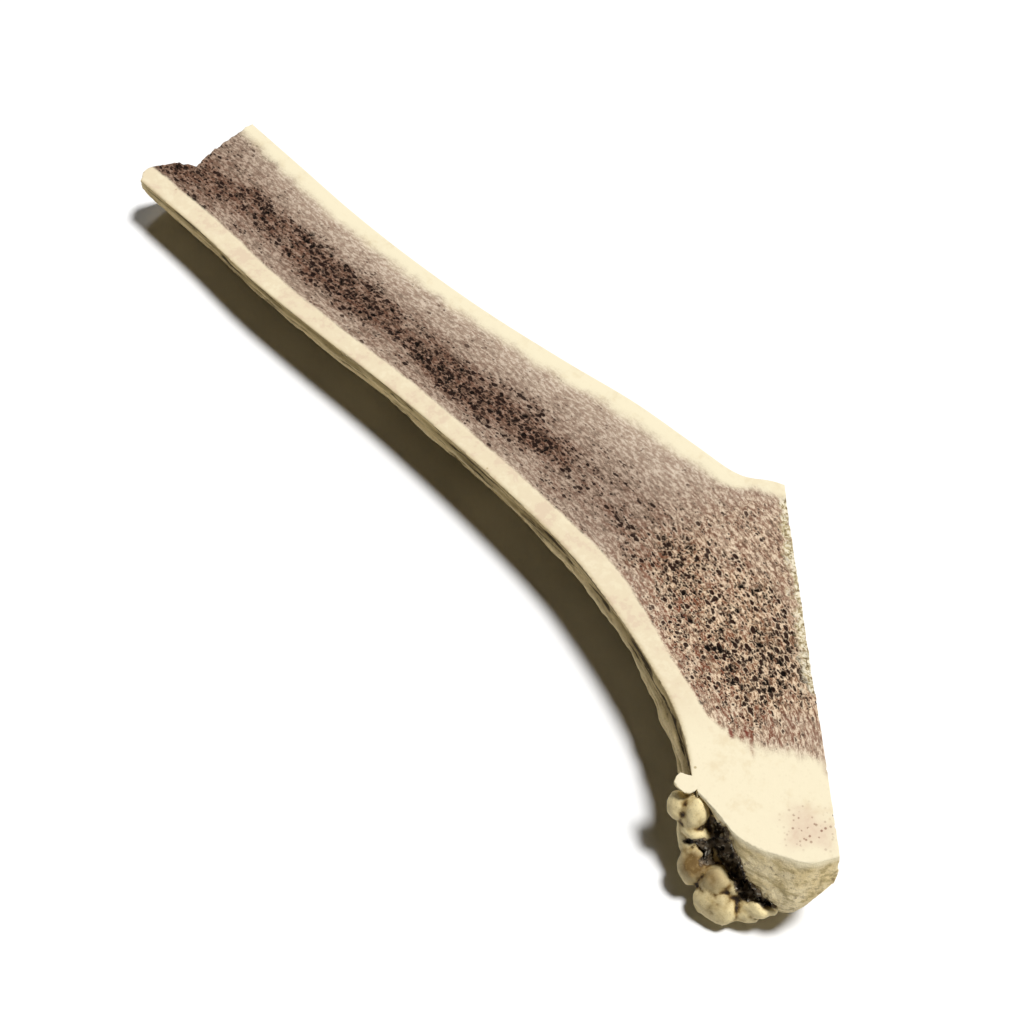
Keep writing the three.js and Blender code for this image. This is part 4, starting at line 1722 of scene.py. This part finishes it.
@dataclass(frozen=True)
class SealBone:
    """The cast scar: olive tan, fine-grained, faintly streaked along its edge, where a band of painted
    shade lies just below the sawn face under a painted highlight on the very edge; painted shade also
    darkens its valleys.
    """

    body: Triple = linear(232, 210, 158)
    pale: Triple = linear(246, 228, 184)
    olive: Triple = linear(172, 152, 104)
    spot: Triple = linear(104, 78, 54)
    # Colour of the painted highlight along the seal's top edge.
    lip: Triple = linear(246, 234, 200)

    def make(self) -> bpy.types.Material:
        """Wires the finish from a broad tone noise, a fine grain and a few brown spots, with painted shade
        below the top edge and in the valleys, and a painted highlight on the top edge.

        Returns:
            The material.
        """
        s = Sheet("seal_bone")
        where = s.place()
        streak = s.noise(s.scaled(where, (0.3, 1.0, 1.6)), 1.6, 4.0, 0.6)
        broad = s.noise(where, 3.4, 3.0)
        fine = s.noise(where, 0.3, 4.0, 0.65)
        spots = s.cells(where, 1.7).between(0.16, 0.06)
        tone = s.layers(
            self.body,
            (broad.between(0.35, 0.65), self.pale),
            (streak.between(0.45, 0.66) * 0.8, self.olive),
            (s.noise(where, 0.9, 4.0, 0.7).between(0.5, 0.7) * 0.45, self.spot),
            # Painted shade: a streaky olive band just below the sawn face, where the face's edge overhangs.
            (s.attribute("brown_patch_and_shade") * (streak + 0.3), self.olive),
            ((spots * broad.between(0.5, 0.6)).clamp() * 0.7, self.spot),
            # Painted shade in the valleys, by the cavity mask.
            (s.attribute("cavity_shade").between(0.6, 0.95) * 0.6, self.spot),
            # Painted highlight along the top edge, where it rounds over under the sawn face.
            (s.attribute("lip") * 0.85, self.lip),
        )
        relief = fine * 0.6 + streak * 0.4
        return s.finish(Crust().over(s, tone), 0.65 + fine * 0.15, s.bump(relief, 0.0004, 0.8), 0.2)


# ---- The finished piece ---------------------------------------------------------------------------


@dataclass
class Surface:
    """A mesh read into arrays: its points, its corners' points and zones, and each zone's points."""

    mesh: bpy.types.Mesh

    def __post_init__(self) -> None:
        """Reads the points, the corners and the zones."""
        self.at = read(self.mesh.vertices, "co", 3)
        self.corner = read(self.mesh.loops, "vertex_index", 1)
        starts = read(self.mesh.polygons, "loop_start", 1)
        self.sizes = np.diff(np.append(starts, len(self.corner)))
        self.corner_zone = np.repeat(read(self.mesh.polygons, "material_index", 1), self.sizes)
        self.on = {zone: np.zeros(len(self.at), bool) for zone in Zone}
        for zone in Zone:
            self.on[zone][self.corner[self.corner_zone == int(zone)]] = True


@dataclass(frozen=True)
class BrownPatch:
    """A darker brown patch on the burr."""

    at: Triple
    reach: float
    share: float


@dataclass(frozen=True)
class Layout:
    """Where each zone lies on the square for baking, as boxes of left, bottom, right and top.

    The burr is seen along three axes, each from both sides, in boxes that step right and up.
    """

    face: Box = (0.005, 0.005, 0.995, 0.335)
    grown: Box = (0.005, 0.345, 0.995, 0.635)
    seal: Box = (0.005, 0.645, 0.205, 0.755)
    crevice: Box = (0.215, 0.645, 0.415, 0.755)
    fork: Box = (0.425, 0.645, 0.815, 0.755)
    end: Box = (0.825, 0.645, 0.995, 0.755)
    burr_corner: Pair = (0.005, 0.765)
    burr_step: Pair = (0.332, 0.118)
    burr_size: Pair = (0.322, 0.108)

    def burr(self, axis: int, side: bool) -> Box:
        """The box of one view of the burr.

        Args:
            axis: The axis it is seen along.
            side: Whether it is seen from outside.

        Returns:
            The box.
        """
        x0 = self.burr_corner[0] + self.burr_step[0] * axis
        y0 = self.burr_corner[1] + self.burr_step[1] * side
        return x0, y0, x0 + self.burr_size[0], y0 + self.burr_size[1]


@dataclass
class SplitAntler:
    """The whole piece: shaft, burr and seal joined, then sawn, dressed and set down."""

    shaft: Shaft = field(default_factory=Shaft)
    burr: Burr = field(default_factory=Burr)
    seal: Seal = field(default_factory=Seal)
    layout: Layout = field(default_factory=Layout)
    name: str = "antler"
    cut_walls: tuple[tuple[Zone, float], ...] = ((Zone.FORK, 3.6), (Zone.BREAK, 4.2))
    blush_at: Pair = (-95.3, 20.8)
    blush_reach: Pair = (4.6, 4.2)
    crevice_spread: float = 1.5
    brown_patches: tuple[BrownPatch, ...] = (
        BrownPatch((-84.0, 36.0, -9.2), 2.8, 1.2), BrownPatch((-88.7, 34.8, -9.3), 2.6, 0.6),
        BrownPatch((-76.0, 32.2, -3.0), 2.0, 0.2), BrownPatch((-90.8, 37.4, -12.4), 3.0, 0.3))
    averagings: int = 16

    def build(self) -> bpy.types.Object:
        """Joins the grown parts, makes the saw cuts, stores the masks and sets the piece down.

        Returns:
            The finished object, at the origin, in metres.
        """
        marrow = Marrow(self.shaft)
        cuts = SawCuts(marrow)
        piece = self.shaft.build()
        combine(piece, self.burr.build(), Change.JOIN)
        combine(piece, self.seal.build(), Change.JOIN)
        combine(piece, cuts.lengthwise(), Change.CUT)
        combine(piece, cuts.across_fork(), Change.CUT)
        piece.name = piece.data.name = self.name
        LOG.info("%s: %d points, %d faces", self.name, len(piece.data.vertices), len(piece.data.polygons))
        surface = Surface(piece.data)
        self.store_masks(surface, marrow)
        self.unwrap(surface)
        self.set_down(piece.data)
        return piece

    def store_masks(self, surface: Surface, marrow: Marrow) -> None:
        """Stores on the points what the finishes read: the marrow's masks, blush, the cavity mask by which
        shade is painted, crust, the darker brown patches on the burr together with the painted shade below
        the sawn face on the seal, the painted highlight on the seal's top edge, and the coordinates along
        the grain.

        Args:
            surface: The finished mesh, in millimetres.
            marrow: Gives the masks on the sawn face.
        """
        at, on = surface.at, surface.on
        t, place, width = self.shaft.locate(self.shaft.upright(at))
        grain = np.stack([self.shaft.run(at[:, 0], t), place * width, at[:, 2] * 1.3], axis=1)
        masks = marrow.read(at[:, :2])
        del masks["dense"]
        self.mask_cuts(surface, masks)
        x, crevice = at[:, 0], on[Zone.CREVICE]
        offset = (at[:, :2] - self.blush_at) / self.blush_reach
        spot = np.hypot(offset[:, 0], offset[:, 1]) + 0.25 * rough_noise(at[:, :2] / 3.0, 45, 2)
        masks["blush"] = ease(-spot, -1.25, -0.35) + 0.05 * ease(-x, 60, 75)
        # The cavity mask, by which the finishes paint shade in the valleys and paler ridges.
        masks["cavity_shade"] = self.hollows(surface)
        masks["crust"] = self.burr.crevice.crust(at)
        masks["crust"][crevice] = self.burr.crevice.crust(at[crevice], self.crevice_spread)
        # Darker brown patches at listed points on the burr.
        brown_patch_and_shade = sum(s.share * np.exp(-(((at - s.at) / s.reach) ** 2).sum(axis=1)) for s in self.brown_patches)
        # Painted shade on the seal: a band just below the sawn face, where the face's edge overhangs it.
        under = ease(at[:, 2], -2.6, -0.6) * ease(-x, 84, 90)
        masks["brown_patch_and_shade"] = np.where(on[Zone.SEAL], 0.4 * under, brown_patch_and_shade)
        # Painted highlight on the seal's top edge, just below the sawn face.
        masks["lip"] = ease(at[:, 2] + 0.3 * rough_noise(at / 1.5, 47, 2), -1.3, -0.1)
        attributes = surface.mesh.attributes
        for name, values in masks.items():
            attributes.new(name, "FLOAT", "POINT").data.foreach_set("value", values.astype(np.float32))
        stored = attributes.new("grain", "FLOAT_VECTOR", "POINT")
        stored.data.foreach_set("vector", grain.astype(np.float32).ravel())

    def mask_cuts(self, surface: Surface, masks: dict[str, Array]) -> None:
        """Gives the fork cut and the far end their own masks: marrow inside a wall along the rim.

        Args:
            surface: The finished mesh, in millimetres.
            masks: The masks by name, which are changed.
        """
        at, on = surface.at, surface.on
        outer = on[Zone.GROWN] | on[Zone.BURR] | on[Zone.SEAL]
        for cut, wall in self.cut_walls:
            inner = on[cut] & ~on[Zone.FACE]
            gap = self.distance_to(at[inner], at[on[cut] & outer])
            for values in masks.values():
                values[inner] = 0.0
            ragged = 0.4 * rough_noise(at[inner] / 2.5, 43, 2)
            masks["marrow"][inner] = ease(gap + ragged, wall - 0.6, wall + 1.0)
            masks["shade"][inner] = 0.35 + 0.4 * ease(gap, wall + 1, wall + 4)
            masks["fork"][inner] = 0.7
            masks["red"][inner] = 0.2

    @staticmethod
    def distance_to(points: Array, others: Array, batch: int = 512) -> Array:
        """Distance from each point to the nearest of some others, a batch of points at a time.

        Args:
            points: Points, shape (n, 3).
            others: The others, shape (m, 3).
            batch: Number of points in a batch.

        Returns:
            Distances, shape (n,).
        """
        best = np.empty(len(points))
        for start in range(0, len(points), batch):
            part = points[start:start + batch, None, :] - others[None, :, :]
            best[start:start + batch] = np.sqrt((part**2).sum(axis=2).min(axis=1))
        return best

    def hollows(self, surface: Surface) -> Array:
        """How deep a cavity the surface makes round each point: 0.5 where flat, up to 1 in a valley. The
        finishes paint shade by it: darker in the valleys, paler on the ridges.

        Points are averaged with their neighbours a few times; the height of the averaged surface over
        the true one, along the normal, is the cavity, measured against what is usual in that zone.

        Args:
            surface: The finished mesh, in millimetres.

        Returns:
            Values from 0 to 1.
        """
        at, on, mesh = surface.at, surface.on, surface.mesh
        a, b = read(mesh.edges, "vertices", 2).T
        count = np.bincount(a, minlength=len(at)) + np.bincount(b, minlength=len(at))
        spread = at.copy()
        for _ in range(self.averagings):
            total = np.stack([np.bincount(a, spread[b, k], len(at)) + np.bincount(b, spread[a, k], len(at))
                              for k in range(3)], axis=1)
            spread = 0.5 * spread + 0.5 * total / np.maximum(count, 1)[:, None]
        lift = ((spread - at) * read(mesh.vertex_normals, "vector", 3)).sum(axis=1)
        scaled = np.zeros(len(at))
        for zone in (Zone.GROWN, Zone.BURR, Zone.SEAL):
            usual = np.percentile(np.abs(lift[on[zone]]), 85)
            scaled = np.where(on[zone], lift / usual, scaled)
        return np.clip(0.5 + np.where(on[Zone.BURR], 0.65, 0.4) * scaled, 0, 1)

    def unwrap(self, surface: Surface) -> None:
        """Lays the surface out flat for baking, in strips of one square.

        The sawn face is seen from above, the back is unrolled along the grain, and the burr, seal,
        crevice, fork cut and far end are each seen along their own direction.

        Args:
            surface: The finished mesh, in millimetres.
        """
        at, mesh, zones = surface.at, surface.mesh, surface.corner_zone
        place = at[surface.corner]
        axes = burr_axes()
        local = (place - CHORD_START) @ axes.T
        uv = np.zeros((len(place), 2))

        def lay(chosen: Array, flat: Array, box: Box) -> None:
            """Fits flat coordinates of the chosen corners into a box of the square.

            Args:
                chosen: Which corners.
                flat: Coordinates of all corners, shape (n, 2).
                box: Left, bottom, right and top.
            """
            low, high = flat[chosen].min(axis=0), flat[chosen].max(axis=0)
            size = np.array([box[2] - box[0], box[3] - box[1]])
            uv[chosen] = np.array(box[:2]) + (flat[chosen] - low) / (high - low) * size

        t, across, _ = self.shaft.locate(self.shaft.upright(at))
        belly, deep = self.shaft.value("belly", t), self.shaft.value("depth", t)
        round_back = np.arctan2(np.clip(-at[:, 2], 0, None) / deep, (belly - across) / 0.5)
        rolled = np.stack([self.shaft.travelled(t), round_back], axis=1)[surface.corner]
        fork = np.stack([(place - SAW_POINT) @ SAW_ALONG, place[:, 2]], axis=1)
        for zone, flat, box in (
            (Zone.FACE, place[:, :2], self.layout.face),
            (Zone.GROWN, rolled, self.layout.grown),
            (Zone.SEAL, local[:, :2], self.layout.seal),
            (Zone.CREVICE, local[:, :2], self.layout.crevice),
            (Zone.FORK, fork, self.layout.fork),
            (Zone.BREAK, place[:, 1:], self.layout.end),
        ):
            lay(zones == int(zone), flat, box)
        facing = np.repeat(read(mesh.polygons, "normal", 3), surface.sizes, axis=0) @ axes.T
        main = np.abs(facing).argmax(axis=1)
        outward = np.take_along_axis(facing, main[:, None], axis=1)[:, 0] > 0
        for axis in range(3):
            for side in (False, True):
                chosen = (zones == int(Zone.BURR)) & (main == axis) & (outward == side)
                if chosen.any():
                    lay(chosen, np.delete(local, axis, axis=1), self.layout.burr(axis, side))
        layer = mesh.uv_layers.new(name="OFBake")
        layer.data.foreach_set("uv", uv.astype(np.float32).ravel())

    @staticmethod
    def set_down(mesh: bpy.types.Mesh) -> None:
        """Tips the piece about its width, moves it to where it rests and turns millimetres into metres.

        The ridges it rests on are worn flat at the floor.

        Args:
            mesh: The finished mesh, in millimetres.
        """
        turn = Matrix.Rotation(FACE_TILT, 4, "Y")
        mesh.transform(Matrix.Scale(TO_METRES, 4) @ Matrix.Translation(SET_DOWN) @ turn)
        at = read(mesh.vertices, "co", 3)
        at[:, 2] = np.maximum(at[:, 2], 0)
        mesh.vertices.foreach_set("co", at.astype(np.float32).ravel())
        mesh.update()

    def dress(self, piece: bpy.types.Object) -> None:
        """Gives each zone its finish and shades the mesh smooth.

        Args:
            piece: The finished object.
        """
        sawn, grown = SawnBone().make(), GrownBone().make()
        finishes = {Zone.GROWN: grown, Zone.BURR: PearlBone().make(), Zone.SEAL: SealBone().make(),
                    Zone.CREVICE: grown, Zone.FACE: sawn, Zone.FORK: sawn, Zone.BREAK: sawn}
        zones = read(piece.data.polygons, "material_index", 1)
        piece.data.materials.clear()
        for zone in Zone:
            piece.data.materials.append(finishes[zone])
        piece.data.polygons.foreach_set("material_index", zones)
        piece.data.polygons.foreach_set("use_smooth", np.ones(len(zones), dtype=bool))
        piece.data.update()

    def register(self, piece: bpy.types.Object) -> None:
        """Tells the frame what the piece stands for.

        Args:
            piece: The finished object.
        """
        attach(piece, "root")
        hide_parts("split_antler")


# ---- Studio ---------------------------------------------------------------------------------------


def from_face_frame(point: Iterable[float]) -> Vector:
    """A point given in the frame of the sawn face, in millimetres, as it lies on the floor."""
    tipped = Matrix.Rotation(FACE_TILT, 4, "Y") @ Vector(point)
    return (tipped + Vector(SET_DOWN)) * TO_METRES


@dataclass(frozen=True)
class Studio:
    """A pale floor, a soft key light from above, a weak fill and the camera."""

    camera_at: Triple = (-169.1996, 165.7183, 313.4992)
    camera_aim: Triple = (-14.6989, 9.7820, 0.0)
    lens: float = 72.19
    key_from: Triple = (-0.194, -0.267, 1.0)
    key_strength: float = 3.85
    key_softness: float = 0.2
    side_from: Triple = (0.9, -1.1, 1.0)
    side_strength: float = 0.6
    sky: Triple = (1.0, 0.93, 0.8)
    sky_strength: float = 0.009
    floor_size: float = 12.0
    floor_tones: tuple[Triple, Triple] = ((0.84, 0.84, 0.84), (0.86, 0.86, 0.86))

    def floor(self) -> None:
        """A flat pale floor at height zero."""
        half = self.floor_size / 2
        corners = np.array([[-half, -half, 0], [half, -half, 0], [half, half, 0], [-half, half, 0]])
        floor = Shell(corners, [(np.array([[0, 1, 2, 3]]), Zone.GROWN)]).to_object("floor")
        s = Sheet("floor_paper")
        grain = s.noise(s.place(), 60.0, 2.0)
        colour = s.mix(grain, *self.floor_tones)
        floor.data.materials.append(s.finish(colour, 0.9, s.bump(grain, 0.0001, 0.1), 0.1))

    def lamp(self, name: str, towards: Triple, strength: float) -> None:
        """Adds a broad sun that shines from one direction.

        Args:
            name: The lamp's name.
            towards: Direction from the piece to the lamp.
            strength: Its strength.
        """
        data = bpy.data.lights.new(name, "SUN")
        data.energy = strength
        data.angle = self.key_softness
        made = bpy.data.objects.new(name, data)
        made.rotation_euler = Vector(towards).to_track_quat("Z", "Y").to_euler()
        bpy.context.scene.collection.objects.link(made)

    def light(self) -> None:
        """The key light, a weak light from the side, and a dim warm sky."""
        self.lamp("key", self.key_from, self.key_strength)
        self.lamp("side", self.side_from, self.side_strength)
        world = bpy.data.worlds.new("studio")
        world.use_nodes = True
        sky = world.node_tree.nodes["Background"]
        sky.inputs["Color"].default_value = (*self.sky, 1.0)
        sky.inputs["Strength"].default_value = self.sky_strength
        bpy.context.scene.world = world

    def camera(self) -> None:
        """The camera, looking down on the sawn face from beyond the burr."""
        data = bpy.data.cameras.new("camera")
        data.lens = self.lens
        data.sensor_width = 36.0
        data.clip_start = 0.01
        made = bpy.data.objects.new("camera", data)
        made.location = from_face_frame(self.camera_at)
        level = (Vector(self.camera_aim) - Vector(self.camera_at)).to_track_quat("-Z", "Y").to_matrix()
        made.rotation_euler = (Matrix.Rotation(FACE_TILT, 3, "Y") @ level).to_euler()
        bpy.context.scene.collection.objects.link(made)
        bpy.context.scene.camera = made
        bpy.context.scene.view_settings.view_transform = "Standard"


def main() -> None:
    """Builds the piece and the studio."""
    logging.basicConfig(level=logging.INFO, format="%(name)s: %(message)s")
    antler = SplitAntler()
    piece = antler.build()
    antler.dress(piece)
    antler.register(piece)
    LOG.info("antler dressed")
    studio = Studio()
    studio.floor()
    studio.light()
    studio.camera()
    LOG.info("studio set")
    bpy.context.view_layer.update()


if __name__ == "__main__":
    main()
